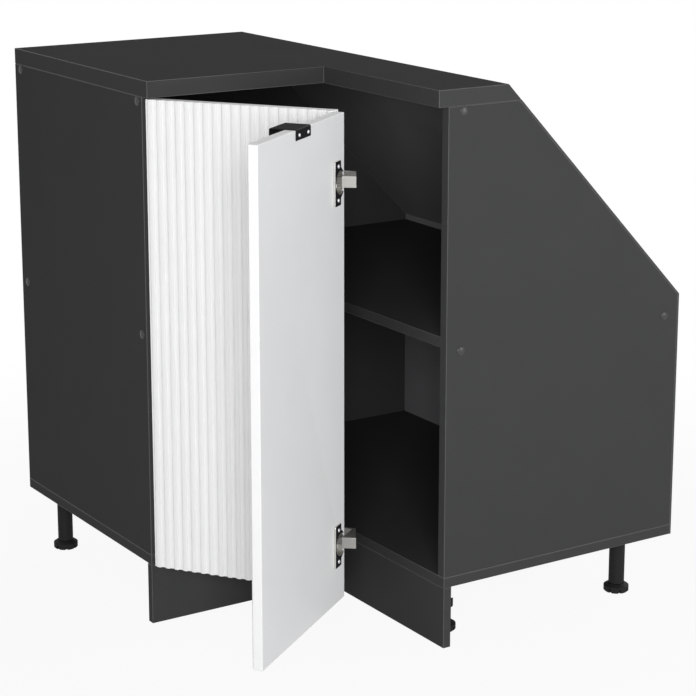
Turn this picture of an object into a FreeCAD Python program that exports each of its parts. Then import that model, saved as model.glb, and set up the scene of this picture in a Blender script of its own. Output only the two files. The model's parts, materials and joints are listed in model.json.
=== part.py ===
import FreeCAD
import Part
import math
import os

# Corner base cabinet for a room under a sloping ceiling.
# X runs from the wall-side panel to the right panel, Y from the left panel to the back, Z up.
# All sizes are millimetres. The cabinet is built with its floor corner at zero and moved at the
# end, so that the origin lies on the floor under the middle of the whole object.

V = FreeCAD.Vector
UP = V(0, 0, 1)

# Carcass
LEG_HEIGHT = 96.0
CARCASS_HEIGHT = 720.0
BOARD = 16.0
BACK_BOARD = 3.0
WIDTH = 764.0
DEPTH = 760.0
LEFT_WING = 443.0
RIGHT_WING = 441.0
KNEE_HEIGHT = 489.0

# Worktop
WORKTOP = 25.0
WORKTOP_BACK = 424.0
OVERHANG = 17.0

# Shelf and its pins
SHELF_BELOW_KNEE = 27.0
SHELF_GAP = 0.5
SHELF_SETBACK = 1.0
PIN_RADIUS = 5.0
PIN_REACH = 12.0
SHANK_RADIUS = 3.0
CAP_STUB = 3.0
BLIND_DEPTH = 11.0
LEFT_PIN_FRONT = 14.0
RIGHT_PIN_FRONT = 26.0
RIGHT_PIN_BACK = 25.5

# Cover caps
CAP_RADIUS = 7.0
CAP_RISE = 2.2
CAP_FACETS = 4

# Blocks that hold the worktop
BLOCK_GAP = 0.5
BLOCK_LENGTH = 24.0
BLOCK_DEPTH = 20.0
BLOCK_HEIGHT = 18.0
BLOCK_BOLT_DROP = 7.5
BLOCK_BOLT_EDGE = 5.5
BLOCK_BOLT_REACH = 13.0
BLOCK_SCREW_EDGE = 6.0
BLOCK_SCREW_RADIUS = 2.0
BLOCK_SCREW_BITE = 14.0
BLOCK_SCREW_HEAD = 4.0
BLOCK_SCREW_HEAD_RISE = 2.0

# Carcass screws, dowels and nails
SCREW_RADIUS = 2.5
SCREW_HEAD_RADIUS = 5.0
SCREW_HEAD_DEPTH = 3.0
SCREW_BITE = 34.0
SCREW_END = 110.0
DOWEL_RADIUS = 4.0
DOWEL_IN_SIDE = 12.0
DOWEL_IN_WALL = 18.0
DOWEL_END = 90.0
NAIL_RADIUS = 0.8
NAIL_LENGTH = 18.0
NAIL_HEAD_RADIUS = 2.6
NAIL_HEAD_RISE = 0.8
NAIL_END = 40.0

# Plinth
PLINTH = 13.0
PLINTH_FLOOR_GAP = 1.0
PLINTH_TOP_GAP = 0.5
CORNER_PLATE_REACH = 34.0
CORNER_PLATE = 2.0
CORNER_PLATE_HEIGHT = 40.0
CORNER_SCREW_EDGE = 6.5
TRIM_SCREW_RADIUS = 1.6
TRIM_SCREW_HEAD = 3.2
TRIM_SCREW_HEAD_RISE = 1.4
TRIM_SCREW_BITE = 9.0

# Legs
LEG_FROM_LEFT = 36.0
LEG_FROM_WALL = 59.0
LEG_FROM_FRONT = 46.0
LEG_FROM_RIGHT = 48.0
LEG_FROM_BACK = 69.0
FRONT_LEG_FROM_LEFT = 58.0
FRONT_LEG_FROM_RIGHT = 67.0
TUBE_RADIUS = 12.5
TUBE_BORE = 8.6
TUBE_FLOOR = 27.0
SOCKET_RADIUS = 23.0
SOCKET_FLANGE = 4.0
SPIGOT_LENGTH = 22.0
SPIGOT_CLEARANCE = 0.1
SOCKET_SCREW_CIRCLE = 18.0
SOCKET_SCREWS = 3
SOCKET_SCREW_BITE = 9.0
FOOT_RADIUS = 20.0
FOOT_RIM = 9.5
FOOT_SHOULDER = 4.0
FOOT_TOP_RADIUS = 14.0
FOOT_CHAMFER = 1.5
FOOT_SLOTS = 8
FOOT_SLOT_WIDTH = 4.0
FOOT_SLOT_DEPTH = 4.0
FOOT_SLOT_HEIGHT = 6.5
STEM_RADIUS = 5.0
STEM_LENGTH = 46.0
STEM_CLEARANCE = 0.3
FOOT_SEAT_GAP = 0.3

# Plinth clips
CLIP_BASE = 38.0
CLIP_HEIGHT = 12.0
CLIP_WALL = 3.0
CLIP_CLEARANCE = 0.1
CLIP_MOUTH = 16.0
CLIP_ARM = 8.0
CLIP_PLATE = 4.0
CLIP_PLATE_WIDTH = 34.0
CLIP_PLATE_HEIGHT = 24.0
CLIP_SCREW_EDGE = 6.0

# Door leaves
DOOR_THICKNESS = 16.5
RIB_DEPTH = 2.8
RIB_SLOPE = 2.0
RIBS = 20
DOOR_GAP = 3.2
DOOR_SIDE_REVEAL = 2.5
DOOR_END_REVEAL = 2.0
DOOR_TOP_GAP = 2.0
DOOR_BOTTOM_RISE = 1.0
CORNER_GAP = 0.8
FOLD_GAP = 4.4
DOOR_OPEN = 54.5

# Hinges, the same cup and pin for the swing hinges and the fold hinges
HINGE_LOW = 88.0
HINGE_HIGH = 96.0
CUP_RADIUS = 17.4
CUP_WALL = 1.0
CUP_DEPTH = 12.1
CUP_FLOOR = 0.8
CUP_TO_EDGE = 20.5
HINGE_PIN_RADIUS = 1.0
HINGE_PIN_CLEARANCE = 0.1
HINGE_PIN_TO_EDGE = 7.5
HINGE_PIN_DEPTH = 8.8
HINGE_PIN_END_GAP = 0.1
EYE_RADIUS = 2.2
FLANGE = 3.0
FLANGE_HEIGHT = 64.0
FLANGE_FROM_EDGE = 10.0
FLANGE_WIDTH = 30.0
FLANGE_WAIST = 30.0
FLANGE_EAR = 21.5
FLANGE_EAR_DROP = 10.0
CUP_SCREW_SPACING = 48.0
CUP_SCREW_FROM_CENTRE = 8.0
CUP_SCREW_BITE = 9.0
CUP_SCREW_HEAD = 3.0
CUP_SCREW_HEAD_RISE = 1.6

# Swing hinge arms on the left panel
NECK = 2.0
NECK_WIDTH = 10.0
ARM_LENGTH = 58.0
ARM_DEPTH = 8.0
ARM_HEIGHT = 12.0
ARM_SETBACK = 4.0
MOUNT_PLATE = 4.0
MOUNT_PLATE_LENGTH = 40.0
MOUNT_PLATE_HEIGHT = 50.0
MOUNT_PLATE_SETBACK = 17.0
MOUNT_SCREW_SPACING = 32.0
MOUNT_SCREW_RADIUS = 2.2
MOUNT_SCREW_HEAD = 4.0
MOUNT_SCREW_HEAD_RISE = 2.0
MOUNT_SCREW_BITE = 11.0
CLAMP_SCREW_RADIUS = 2.0
CLAMP_SCREW_HEAD = 3.4
CLAMP_SCREW_HEAD_RISE = 1.6

# Fold hinge arms between the two leaves
RISER = 4.0
BAR_LIFT = 2.5
BAR_DEPTH = 19.5
BAR_END = 4.0
BAR_NOSE = 5.7
BAR_HEIGHT = 16.0
FOLD_PLATE = 3.2
FOLD_PLATE_HEIGHT = 44.0
FOLD_PLATE_LENGTH = 34.0
FOLD_PLATE_FROM_END = 9.0
FOLD_ARM = 5.0
FOLD_SCREW_SPACING = 30.0
FOLD_SCREW_BITE = 9.0

# Handle over the top edge of the right leaf
HANDLE_WIDTH = 50.0
HANDLE_SHEET = 1.2
HANDLE_REACH = 22.0
HANDLE_LIP = 9.0
HANDLE_FLANGE = 14.0
HANDLE_SCREW_SPACING = 30.0
HANDLE_SCREW_DROP = 7.5
HANDLE_SCREW_RADIUS = 1.5
HANDLE_SCREW_HEAD = 2.5
HANDLE_SCREW_HEAD_RISE = 1.6
HANDLE_SCREW_BITE = 9.0

# Levels and planes that follow from the sizes
BOTTOM_TOP = LEG_HEIGHT + BOARD
CARCASS_TOP = LEG_HEIGHT + CARCASS_HEIGHT
HEIGHT = CARCASS_TOP + WORKTOP
FRONT_X = LEFT_WING
FRONT_Y = DEPTH - RIGHT_WING
INNER_BACK = DEPTH - BACK_BOARD
RUN = DEPTH - WORKTOP_BACK
FALL = HEIGHT - KNEE_HEIGHT
SLANT = math.hypot(RUN, FALL)
SLOPE_NORMAL = V(0, FALL / SLANT, RUN / SLANT)
SHELF_UNDERSIDE = KNEE_HEIGHT - SHELF_BELOW_KNEE
SHELF_TOP = SHELF_UNDERSIDE + BOARD
PIN_Z = SHELF_UNDERSIDE - PIN_RADIUS
BOLT_Z = CARCASS_TOP - BLOCK_BOLT_DROP
DOOR_BOTTOM = LEG_HEIGHT + DOOR_BOTTOM_RISE
DOOR_TOP = CARCASS_TOP - DOOR_TOP_GAP
PIN_CHORD = CUP_TO_EDGE - HINGE_PIN_TO_EDGE + HINGE_PIN_RADIUS
HINGE_PIN_HALF = math.sqrt(CUP_RADIUS ** 2 - PIN_CHORD ** 2) - HINGE_PIN_END_GAP
HINGE_HEIGHTS = (DOOR_BOTTOM + HINGE_LOW, DOOR_TOP - HINGE_HIGH)
LEFT_BACK = FRONT_X + DOOR_GAP
RIGHT_BACK = FRONT_Y - DOOR_GAP
LEFT_LEAF_START = DOOR_SIDE_REVEAL
LEFT_LEAF_WIDTH = RIGHT_BACK - DOOR_THICKNESS - CORNER_GAP - LEFT_LEAF_START
RIGHT_LEAF_START = LEFT_BACK + DOOR_THICKNESS + FOLD_GAP
RIGHT_LEAF_WIDTH = WIDTH - DOOR_END_REVEAL - RIGHT_LEAF_START
SWING_AXIS = V(LEFT_BACK + HINGE_PIN_DEPTH, LEFT_LEAF_START + HINGE_PIN_TO_EDGE, 0)
FOLD_AXIS = V(RIGHT_LEAF_START + HINGE_PIN_TO_EDGE, RIGHT_BACK - HINGE_PIN_DEPTH, 0)


def slope_y(z, inset=0.0):
    """Y of the roof slope at height z, inset square to the slope."""
    return WORKTOP_BACK + (HEIGHT - z) * RUN / FALL - inset * SLANT / FALL


def slope_z(y, inset=0.0):
    """Height of the roof slope at depth y, inset square to the slope."""
    return HEIGHT - (y + inset * SLANT / FALL - WORKTOP_BACK) * FALL / RUN


def box(x0, x1, y0, y1, z0, z1):
    return Part.makeBox(x1 - x0, y1 - y0, z1 - z0, V(x0, y0, z0))


def rod(start, direction, radius, length):
    return Part.makeCylinder(radius, length, start, direction)


def prism_xy(points, z0, z1):
    wire = Part.makePolygon([V(x, y, z0) for x, y in points + points[:1]])
    return Part.Face(wire).extrude(V(0, 0, z1 - z0))


def prism_xz(points, y0, y1):
    wire = Part.makePolygon([V(x, y0, z) for x, z in points + points[:1]])
    return Part.Face(wire).extrude(V(0, y1 - y0, 0))


def prism_yz(points, x0, x1):
    wire = Part.makePolygon([V(x0, y, z) for y, z in points + points[:1]])
    return Part.Face(wire).extrude(V(x1 - x0, 0, 0))


def group(solids):
    return solids[0] if len(solids) == 1 else Part.makeCompound(solids)


def fuse(solids):
    return solids[0].multiFuse(solids[1:]).removeSplitter()


def headed(seat, inward, head_radius, head_rise, radius, bite):
    """A screw whose head stands on a seat, with its shank going inward."""
    head = rod(seat - inward * head_rise, inward, head_radius, head_rise)
    return fuse([head, rod(seat, inward, radius, bite)])


# Panels
def l_shape(x0, x1, y0, y1, notch_x, notch_y, z0, z1):
    outline = [(x0, y0), (notch_x, y0), (notch_x, notch_y), (x1, notch_y), (x1, y1), (x0, y1)]
    return prism_xy(outline, z0, z1)


def pentagon(y0, x0, x1):
    outline = [
        (y0, BOTTOM_TOP),
        (INNER_BACK, BOTTOM_TOP),
        (INNER_BACK, slope_z(INNER_BACK, BACK_BOARD)),
        (slope_y(CARCASS_TOP, BACK_BOARD), CARCASS_TOP),
        (y0, CARCASS_TOP),
    ]
    return prism_yz(outline, x0, x1)


left_panel = box(0, FRONT_X, 0, BOARD, BOTTOM_TOP, CARCASS_TOP)
right_panel = pentagon(FRONT_Y, WIDTH - BOARD, WIDTH)
wall_panel = pentagon(BOARD, 0, BOARD)
bottom = l_shape(0, WIDTH, 0, INNER_BACK, FRONT_X, FRONT_Y, LEG_HEIGHT, BOTTOM_TOP)
shelf_back = min(INNER_BACK, slope_y(SHELF_TOP, BACK_BOARD)) - SHELF_GAP
shelf = l_shape(
    BOARD + SHELF_GAP,
    WIDTH - BOARD - SHELF_GAP,
    BOARD + SHELF_GAP,
    shelf_back,
    FRONT_X - SHELF_SETBACK,
    FRONT_Y + SHELF_SETBACK,
    SHELF_UNDERSIDE,
    SHELF_TOP,
)
worktop = l_shape(
    0, WIDTH, 0, slope_y(CARCASS_TOP), FRONT_X + OVERHANG, FRONT_Y - OVERHANG, CARCASS_TOP, HEIGHT
)
bevel = [
    (WORKTOP_BACK, HEIGHT),
    (slope_y(CARCASS_TOP), CARCASS_TOP),
    (slope_y(CARCASS_TOP) + WORKTOP, CARCASS_TOP),
    (slope_y(CARCASS_TOP) + WORKTOP, HEIGHT + WORKTOP),
    (WORKTOP_BACK, HEIGHT + WORKTOP),
]
worktop = worktop.cut(prism_yz(bevel, -WORKTOP, WIDTH + WORKTOP))
mitre_low = (INNER_BACK, slope_z(INNER_BACK, BACK_BOARD))
mitre_high = (DEPTH, KNEE_HEIGHT)
back_panel = prism_yz(
    [(INNER_BACK, LEG_HEIGHT), (DEPTH, LEG_HEIGHT), mitre_high, mitre_low], 0, WIDTH
)
slope_top_in = (slope_y(CARCASS_TOP, BACK_BOARD), CARCASS_TOP)
slope_top_out = (slope_y(CARCASS_TOP), CARCASS_TOP)
sloped_back = prism_yz([mitre_low, mitre_high, slope_top_out, slope_top_in], 0, WIDTH)

# Cover caps, shelf pins and the bolts of the worktop blocks share one kind of hole
dome_radius = (CAP_RADIUS ** 2 + CAP_RISE ** 2) / (2 * CAP_RISE)


def cap(seat, inward):
    """A low dome of cone rings that stands on a seat, with a stub in the panel."""
    spread_angle = math.asin(CAP_RADIUS / dome_radius)
    angles = [spread_angle * (1 - i / CAP_FACETS) for i in range(CAP_FACETS + 1)]
    rings = [(dome_radius * math.sin(a), dome_radius * math.cos(a)) for a in angles]
    solids = [rod(seat, inward, SHANK_RADIUS, CAP_STUB)]
    for (low_r, low_h), (high_r, high_h) in zip(rings, rings[1:]):
        foot_of_ring = seat - inward * (low_h - rings[0][1])
        solids.append(
            Part.makeCone(low_r, max(high_r, 0), high_h - low_h, foot_of_ring, inward * -1)
        )
    return fuse(solids)


def through_pin(seat, inward, tip_radius, reach, start):
    shank = rod(seat + inward * start, inward, SHANK_RADIUS, BOARD - start)
    return fuse([shank, rod(seat + inward * BOARD, inward, tip_radius, reach)])


EAST = V(1, 0, 0)
WEST = V(-1, 0, 0)
NORTH = V(0, 1, 0)
SOUTH = V(0, -1, 0)
left_holes = (BOARD + BLOCK_GAP + BLOCK_BOLT_EDGE, FRONT_X - LEFT_PIN_FRONT)
right_holes = (FRONT_Y + RIGHT_PIN_FRONT, shelf_back - RIGHT_PIN_BACK)
cap_seats = []
pins = []
blind_start = BOARD - BLIND_DEPTH
for x in left_holes:
    cap_seats.append((V(x, 0, PIN_Z), NORTH))
    pins.append(through_pin(V(x, 0, PIN_Z), NORTH, PIN_RADIUS, PIN_REACH, CAP_STUB))
for y in right_holes:
    cap_seats.append((V(WIDTH, y, PIN_Z), WEST))
    pins.append(through_pin(V(WIDTH, y, PIN_Z), WEST, PIN_RADIUS, PIN_REACH, CAP_STUB))
    pins.append(through_pin(V(0, y, PIN_Z), EAST, PIN_RADIUS, PIN_REACH, blind_start))

# Worktop blocks: one bolt through the panel, one screw up into the worktop
blocks = []
bolts = []
block_screws = []


def worktop_block(seat, inward, along, start):
    bolt = through_pin(seat, inward, SHANK_RADIUS, BLOCK_BOLT_REACH, start)
    face = V(seat.x, seat.y, 0) + inward * BOARD
    a = face - along * BLOCK_BOLT_EDGE
    b = face + along * (BLOCK_LENGTH - BLOCK_BOLT_EDGE) + inward * BLOCK_DEPTH
    block = box(
        min(a.x, b.x), max(a.x, b.x), min(a.y, b.y), max(a.y, b.y),
        CARCASS_TOP - BLOCK_HEIGHT, CARCASS_TOP,
    )
    spot = face + along * (BLOCK_LENGTH - BLOCK_BOLT_EDGE - BLOCK_SCREW_EDGE)
    spot = spot + inward * (BLOCK_DEPTH / 2) + UP * (CARCASS_TOP - BLOCK_HEIGHT)
    screw = headed(
        spot, UP, BLOCK_SCREW_HEAD, BLOCK_SCREW_HEAD_RISE, BLOCK_SCREW_RADIUS,
        BLOCK_HEIGHT + BLOCK_SCREW_BITE,
    )
    blocks.append(block.cut(bolt).cut(screw))
    bolts.append(bolt)
    block_screws.append(screw)


bolt_back, bolt_front = left_holes
bolt_right = right_holes[0]
worktop_block(V(bolt_back, 0, BOLT_Z), NORTH, EAST, CAP_STUB)
worktop_block(V(bolt_front, 0, BOLT_Z), NORTH, WEST, CAP_STUB)
worktop_block(V(WIDTH, bolt_right, BOLT_Z), WEST, NORTH, CAP_STUB)
worktop_block(V(0, bolt_right, BOLT_Z), EAST, NORTH, blind_start)
cap_seats.append((V(bolt_back, 0, BOLT_Z), NORTH))
cap_seats.append((V(bolt_front, 0, BOLT_Z), NORTH))
cap_seats.append((V(WIDTH, bolt_right, BOLT_Z), WEST))
caps = [cap(seat, inward) for seat, inward in cap_seats]
panel_hardware = Part.makeCompound(caps + pins + bolts)
worktop = worktop.cut(Part.makeCompound(block_screws))

# Screws up through the bottom panel into the three standing panels
screws = []


def spread(low, high, end, count):
    step = (high - low - 2 * end) / (count - 1)
    return [low + end + step * i for i in range(count)]


def carcass_screw(x, y):
    head = rod(V(x, y, LEG_HEIGHT), UP, SCREW_HEAD_RADIUS, SCREW_HEAD_DEPTH)
    shank = rod(V(x, y, LEG_HEIGHT), UP, SCREW_RADIUS, BOARD + SCREW_BITE)
    screws.append(fuse([head, shank]))


for x in spread(0, FRONT_X, SCREW_END, 3):
    carcass_screw(x, BOARD / 2)
for y in spread(FRONT_Y, INNER_BACK, SCREW_END, 3):
    carcass_screw(WIDTH - BOARD / 2, y)
for y in spread(BOARD, INNER_BACK, SCREW_END, 4):
    carcass_screw(BOARD / 2, y)

# Dowels between the left panel and the wall-side panel
dowels = []
for z in spread(BOTTOM_TOP, CARCASS_TOP, DOWEL_END, 3):
    start = V(BOARD / 2, BOARD - DOWEL_IN_SIDE, z)
    dowels.append(rod(start, NORTH, DOWEL_RADIUS, DOWEL_IN_SIDE + DOWEL_IN_WALL))

# Nails through the thin back boards, flush on the flat one and proud on the sloping one
nails = []
panel_lines = (BOARD / 2, WIDTH - BOARD / 2)
slope_in = SLOPE_NORMAL * -1
for x in panel_lines:
    for z in spread(KNEE_HEIGHT, CARCASS_TOP, NAIL_END, 5):
        seat = V(x, slope_y(z), z)
        nails.append(
            headed(seat, slope_in, NAIL_HEAD_RADIUS, NAIL_HEAD_RISE, NAIL_RADIUS, NAIL_LENGTH)
        )
    for z in spread(LEG_HEIGHT, KNEE_HEIGHT, NAIL_END, 4):
        seat = V(x, DEPTH - NAIL_HEAD_RISE, z)
        nails.append(
            headed(seat, SOUTH, NAIL_HEAD_RADIUS, NAIL_HEAD_RISE, NAIL_RADIUS, NAIL_LENGTH)
        )
for x in spread(0, WIDTH, DOWEL_END, 4):
    seat = V(x, DEPTH - NAIL_HEAD_RISE, LEG_HEIGHT + BOARD / 2)
    nails.append(
        headed(seat, SOUTH, NAIL_HEAD_RADIUS, NAIL_HEAD_RISE, NAIL_RADIUS, NAIL_LENGTH)
    )
nail_group = Part.makeCompound(nails)
fixings = Part.makeCompound(screws + dowels)

# Legs: socket under the bottom panel, tube, and a screwed foot
front_leg_x = FRONT_X - LEG_FROM_FRONT
front_leg_y = FRONT_Y + LEG_FROM_FRONT
right_leg_x = WIDTH - LEG_FROM_RIGHT
right_front_leg_x = WIDTH - FRONT_LEG_FROM_RIGHT
rear_leg_y = DEPTH - LEG_FROM_BACK
leg_places = {
    "left_rear": V(LEG_FROM_WALL, LEG_FROM_LEFT, 0),
    "left_front": V(front_leg_x, FRONT_LEG_FROM_LEFT, 0),
    "inner_corner": V(front_leg_x, front_leg_y, 0),
    "right_front": V(right_front_leg_x, front_leg_y, 0),
    "right_rear": V(right_leg_x, rear_leg_y, 0),
    "rear_corner": V(LEG_FROM_WALL, rear_leg_y, 0),
}
foot_top = FOOT_RIM + FOOT_SHOULDER
tube_low = foot_top + FOOT_SEAT_GAP
tube_high = LEG_HEIGHT - SOCKET_FLANGE
home = V(0, 0, 0)
socket_screw_set = []
for i in range(SOCKET_SCREWS):
    turn = math.radians(90 + i * 360 / SOCKET_SCREWS)
    spot = V(SOCKET_SCREW_CIRCLE * math.cos(turn), SOCKET_SCREW_CIRCLE * math.sin(turn), tube_high)
    socket_screw_set.append(
        headed(
            spot, UP, TRIM_SCREW_HEAD, TRIM_SCREW_HEAD_RISE, TRIM_SCREW_RADIUS,
            SOCKET_FLANGE + SOCKET_SCREW_BITE,
        )
    )
socket_screw_group = Part.makeCompound(socket_screw_set)
spigot_radius = TUBE_BORE - SPIGOT_CLEARANCE
socket = fuse([
    rod(V(0, 0, tube_high), UP, SOCKET_RADIUS, SOCKET_FLANGE),
    rod(V(0, 0, tube_high - SPIGOT_LENGTH), UP, spigot_radius, SPIGOT_LENGTH + SOCKET_FLANGE),
]).cut(socket_screw_group)
tube = rod(V(0, 0, tube_low), UP, TUBE_RADIUS, tube_high - tube_low)
tube = tube.cut(rod(V(0, 0, tube_low + TUBE_FLOOR), UP, TUBE_BORE, tube_high - tube_low))
tube = tube.cut(rod(home, UP, STEM_RADIUS + STEM_CLEARANCE, LEG_HEIGHT))
foot = fuse([
    Part.makeCone(FOOT_RADIUS - FOOT_CHAMFER, FOOT_RADIUS, FOOT_CHAMFER, home),
    rod(UP * FOOT_CHAMFER, UP, FOOT_RADIUS, FOOT_RIM - FOOT_CHAMFER),
    Part.makeCone(FOOT_RADIUS, FOOT_TOP_RADIUS, FOOT_SHOULDER, UP * FOOT_RIM),
    rod(home, UP, STEM_RADIUS, foot_top + STEM_LENGTH),
])
slots = []
for i in range(FOOT_SLOTS):
    slot = box(
        FOOT_RADIUS - FOOT_SLOT_DEPTH, FOOT_RADIUS * 2,
        -FOOT_SLOT_WIDTH / 2, FOOT_SLOT_WIDTH / 2,
        -FOOT_SLOT_HEIGHT, FOOT_SLOT_HEIGHT,
    )
    slot.rotate(home, UP, (i + 0.5) * 360 / FOOT_SLOTS)
    slots.append(slot)
foot = foot.cut(Part.makeCompound(slots))


def placed(shape, place):
    copy = shape.copy()
    copy.translate(place)
    return copy


sockets = [placed(socket, place) for place in leg_places.values()]
tubes = [placed(tube, place) for place in leg_places.values()]
socket_screws = []
for place in leg_places.values():
    socket_screws += [placed(screw, place) for screw in socket_screw_set]
feet = {name: placed(foot, place) for name, place in leg_places.items()}

# Plinth boards, held on the front legs by clips and at the corner by a flat plate
plinth_low = PLINTH_FLOOR_GAP
plinth_high = LEG_HEIGHT - PLINTH_TOP_GAP
left_plinth = box(FRONT_X - PLINTH, FRONT_X, 0, FRONT_Y + PLINTH, plinth_low, plinth_high)
right_plinth = box(FRONT_X, WIDTH, FRONT_Y, FRONT_Y + PLINTH, plinth_low, plinth_high)
plinth_mid = (plinth_low + plinth_high) / 2
corner_back = FRONT_Y + PLINTH
corner_plate = box(
    FRONT_X - PLINTH, FRONT_X + CORNER_PLATE_REACH, corner_back, corner_back + CORNER_PLATE,
    plinth_mid - CORNER_PLATE_HEIGHT / 2, plinth_mid + CORNER_PLATE_HEIGHT / 2,
)
trim_screws = []


def trim_screw(spot, inward, through):
    trim_screws.append(
        headed(
            spot, inward, TRIM_SCREW_HEAD, TRIM_SCREW_HEAD_RISE, TRIM_SCREW_RADIUS,
            through + TRIM_SCREW_BITE,
        )
    )


for x in (FRONT_X - CORNER_SCREW_EDGE, FRONT_X + CORNER_PLATE_REACH - CORNER_SCREW_EDGE):
    for z in spread(plinth_mid - CORNER_PLATE_HEIGHT / 2, plinth_mid + CORNER_PLATE_HEIGHT / 2,
                    CORNER_SCREW_EDGE, 2):
        trim_screw(V(x, corner_back + CORNER_PLATE, z), SOUTH, CORNER_PLATE)


def clip(reach):
    """A snap ring round a leg tube, with an arm along +X to a plate at the given reach."""
    ring = rod(V(0, 0, CLIP_BASE), UP, TUBE_RADIUS + CLIP_CLEARANCE + CLIP_WALL, CLIP_HEIGHT)
    arm = box(
        TUBE_RADIUS, reach, -CLIP_ARM / 2, CLIP_ARM / 2, CLIP_BASE, CLIP_BASE + CLIP_HEIGHT
    )
    middle = CLIP_BASE + CLIP_HEIGHT / 2
    plate = box(
        reach - CLIP_PLATE, reach, -CLIP_PLATE_WIDTH / 2, CLIP_PLATE_WIDTH / 2,
        middle - CLIP_PLATE_HEIGHT / 2, middle + CLIP_PLATE_HEIGHT / 2,
    )
    body = fuse([ring, arm, plate])
    body = body.cut(rod(home, UP, TUBE_RADIUS + CLIP_CLEARANCE, LEG_HEIGHT))
    mouth = box(
        -TUBE_RADIUS * 2, 0, -CLIP_MOUTH / 2, CLIP_MOUTH / 2, CLIP_BASE, CLIP_BASE + CLIP_HEIGHT
    )
    return body.cut(mouth)


clip_mid = CLIP_BASE + CLIP_HEIGHT / 2
clip_offset = CLIP_PLATE_WIDTH / 2 - CLIP_SCREW_EDGE
left_clip = clip(LEG_FROM_FRONT - PLINTH)
left_clip.translate(leg_places["left_front"])
right_clip = clip(LEG_FROM_FRONT - PLINTH)
right_clip.rotate(home, UP, -90)
right_clip.translate(leg_places["right_front"])
for side in (-1, 1):
    trim_screw(
        V(FRONT_X - PLINTH - CLIP_PLATE, FRONT_LEG_FROM_LEFT + side * clip_offset, clip_mid),
        EAST, CLIP_PLATE,
    )
    trim_screw(
        V(right_front_leg_x + side * clip_offset, FRONT_Y + PLINTH + CLIP_PLATE, clip_mid),
        SOUTH, CLIP_PLATE,
    )
trim_group = Part.makeCompound(trim_screws)
clips = [left_clip.cut(trim_group), right_clip.cut(trim_group)]


# Door leaves, in their own frame: X from the hinge edge, the back face at Y zero, front at -Y
def leaf(width):
    """A leaf with flat raised ribs, flat grooves between them and half a groove at each edge."""
    pitch = width / RIBS
    groove = RIB_DEPTH - DOOR_THICKNESS
    crest = pitch / 4 - RIB_SLOPE / 2
    outline = [(0, groove), (0, 0), (width, 0), (width, groove)]
    for i in range(RIBS, 0, -1):
        middle = (i - 0.5) * pitch
        outline += [
            (middle + crest + RIB_SLOPE, groove),
            (middle + crest, -DOOR_THICKNESS),
            (middle - crest, -DOOR_THICKNESS),
            (middle - crest - RIB_SLOPE, groove),
        ]
    return prism_xy(outline, DOOR_BOTTOM, DOOR_TOP)


def hinge_pin(z):
    start = V(HINGE_PIN_TO_EDGE, -HINGE_PIN_DEPTH, z - HINGE_PIN_HALF)
    return rod(start, UP, HINGE_PIN_RADIUS, 2 * HINGE_PIN_HALF)


def cup_screws(z):
    x = CUP_TO_EDGE + CUP_SCREW_FROM_CENTRE
    return [
        headed(
            V(x, FLANGE, z + side * CUP_SCREW_SPACING / 2), SOUTH, CUP_SCREW_HEAD,
            CUP_SCREW_HEAD_RISE, TRIM_SCREW_RADIUS, FLANGE + CUP_SCREW_BITE,
        )
        for side in (-1, 1)
    ]


def cup_pocket(z):
    return rod(V(CUP_TO_EDGE, 0, z), SOUTH, CUP_RADIUS, CUP_DEPTH)


def cup(z):
    far = FLANGE_FROM_EDGE + FLANGE_WIDTH
    ear = far - FLANGE_EAR
    half = FLANGE_HEIGHT / 2
    waist = FLANGE_WAIST / 2
    upper = [(far, half), (ear, half), (ear, half - FLANGE_EAR_DROP), (FLANGE_FROM_EDGE, waist)]
    lower = [(x, -rise) for x, rise in reversed(upper)]
    plate = prism_xz([(x, z + rise) for x, rise in upper + lower], 0, FLANGE)
    shell = fuse([cup_pocket(z), plate])
    hollow = rod(
        V(CUP_TO_EDGE, FLANGE * 2, z), SOUTH, CUP_RADIUS - CUP_WALL,
        FLANGE * 2 + CUP_DEPTH - CUP_FLOOR,
    )
    shell = shell.cut(hollow).cut(hinge_pin(z))
    return shell.cut(Part.makeCompound(cup_screws(z)))


left_cups = [cup(z) for z in HINGE_HEIGHTS]
left_pins = [hinge_pin(z) for z in HINGE_HEIGHTS]
left_cup_screws = [screw for z in HINGE_HEIGHTS for screw in cup_screws(z)]
right_cups = [part.copy() for part in left_cups]
right_pins = [part.copy() for part in left_pins]
right_cup_screws = [part.copy() for part in left_cup_screws]
pockets = Part.makeCompound([cup_pocket(z) for z in HINGE_HEIGHTS])
cup_screw_group = Part.makeCompound(left_cup_screws)
left_leaf = leaf(LEFT_LEAF_WIDTH).cut(pockets).cut(cup_screw_group)
right_leaf = leaf(RIGHT_LEAF_WIDTH).cut(pockets).cut(cup_screw_group)

# Handle: a bent sheet over the top edge of the right leaf, screwed to its back
handle_x = RIGHT_LEAF_WIDTH / 2
handle_left = handle_x - HANDLE_WIDTH / 2
handle_right = handle_x + HANDLE_WIDTH / 2
handle_front = -DOOR_THICKNESS - HANDLE_REACH
handle_top = DOOR_TOP + HANDLE_SHEET
handle = fuse([
    box(handle_left, handle_right, 0, HANDLE_SHEET, DOOR_TOP - HANDLE_FLANGE, handle_top),
    box(handle_left, handle_right, handle_front, HANDLE_SHEET, DOOR_TOP, handle_top),
    box(
        handle_left, handle_right, handle_front, handle_front + HANDLE_SHEET,
        DOOR_TOP - HANDLE_LIP, handle_top,
    ),
])
handle_screws = [
    headed(
        V(handle_x + side * HANDLE_SCREW_SPACING / 2, HANDLE_SHEET, DOOR_TOP - HANDLE_SCREW_DROP),
        SOUTH, HANDLE_SCREW_HEAD, HANDLE_SCREW_HEAD_RISE, HANDLE_SCREW_RADIUS,
        HANDLE_SHEET + HANDLE_SCREW_BITE,
    )
    for side in (-1, 1)
]
handle_screw_group = Part.makeCompound(handle_screws)
handle = handle.cut(handle_screw_group)
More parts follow.
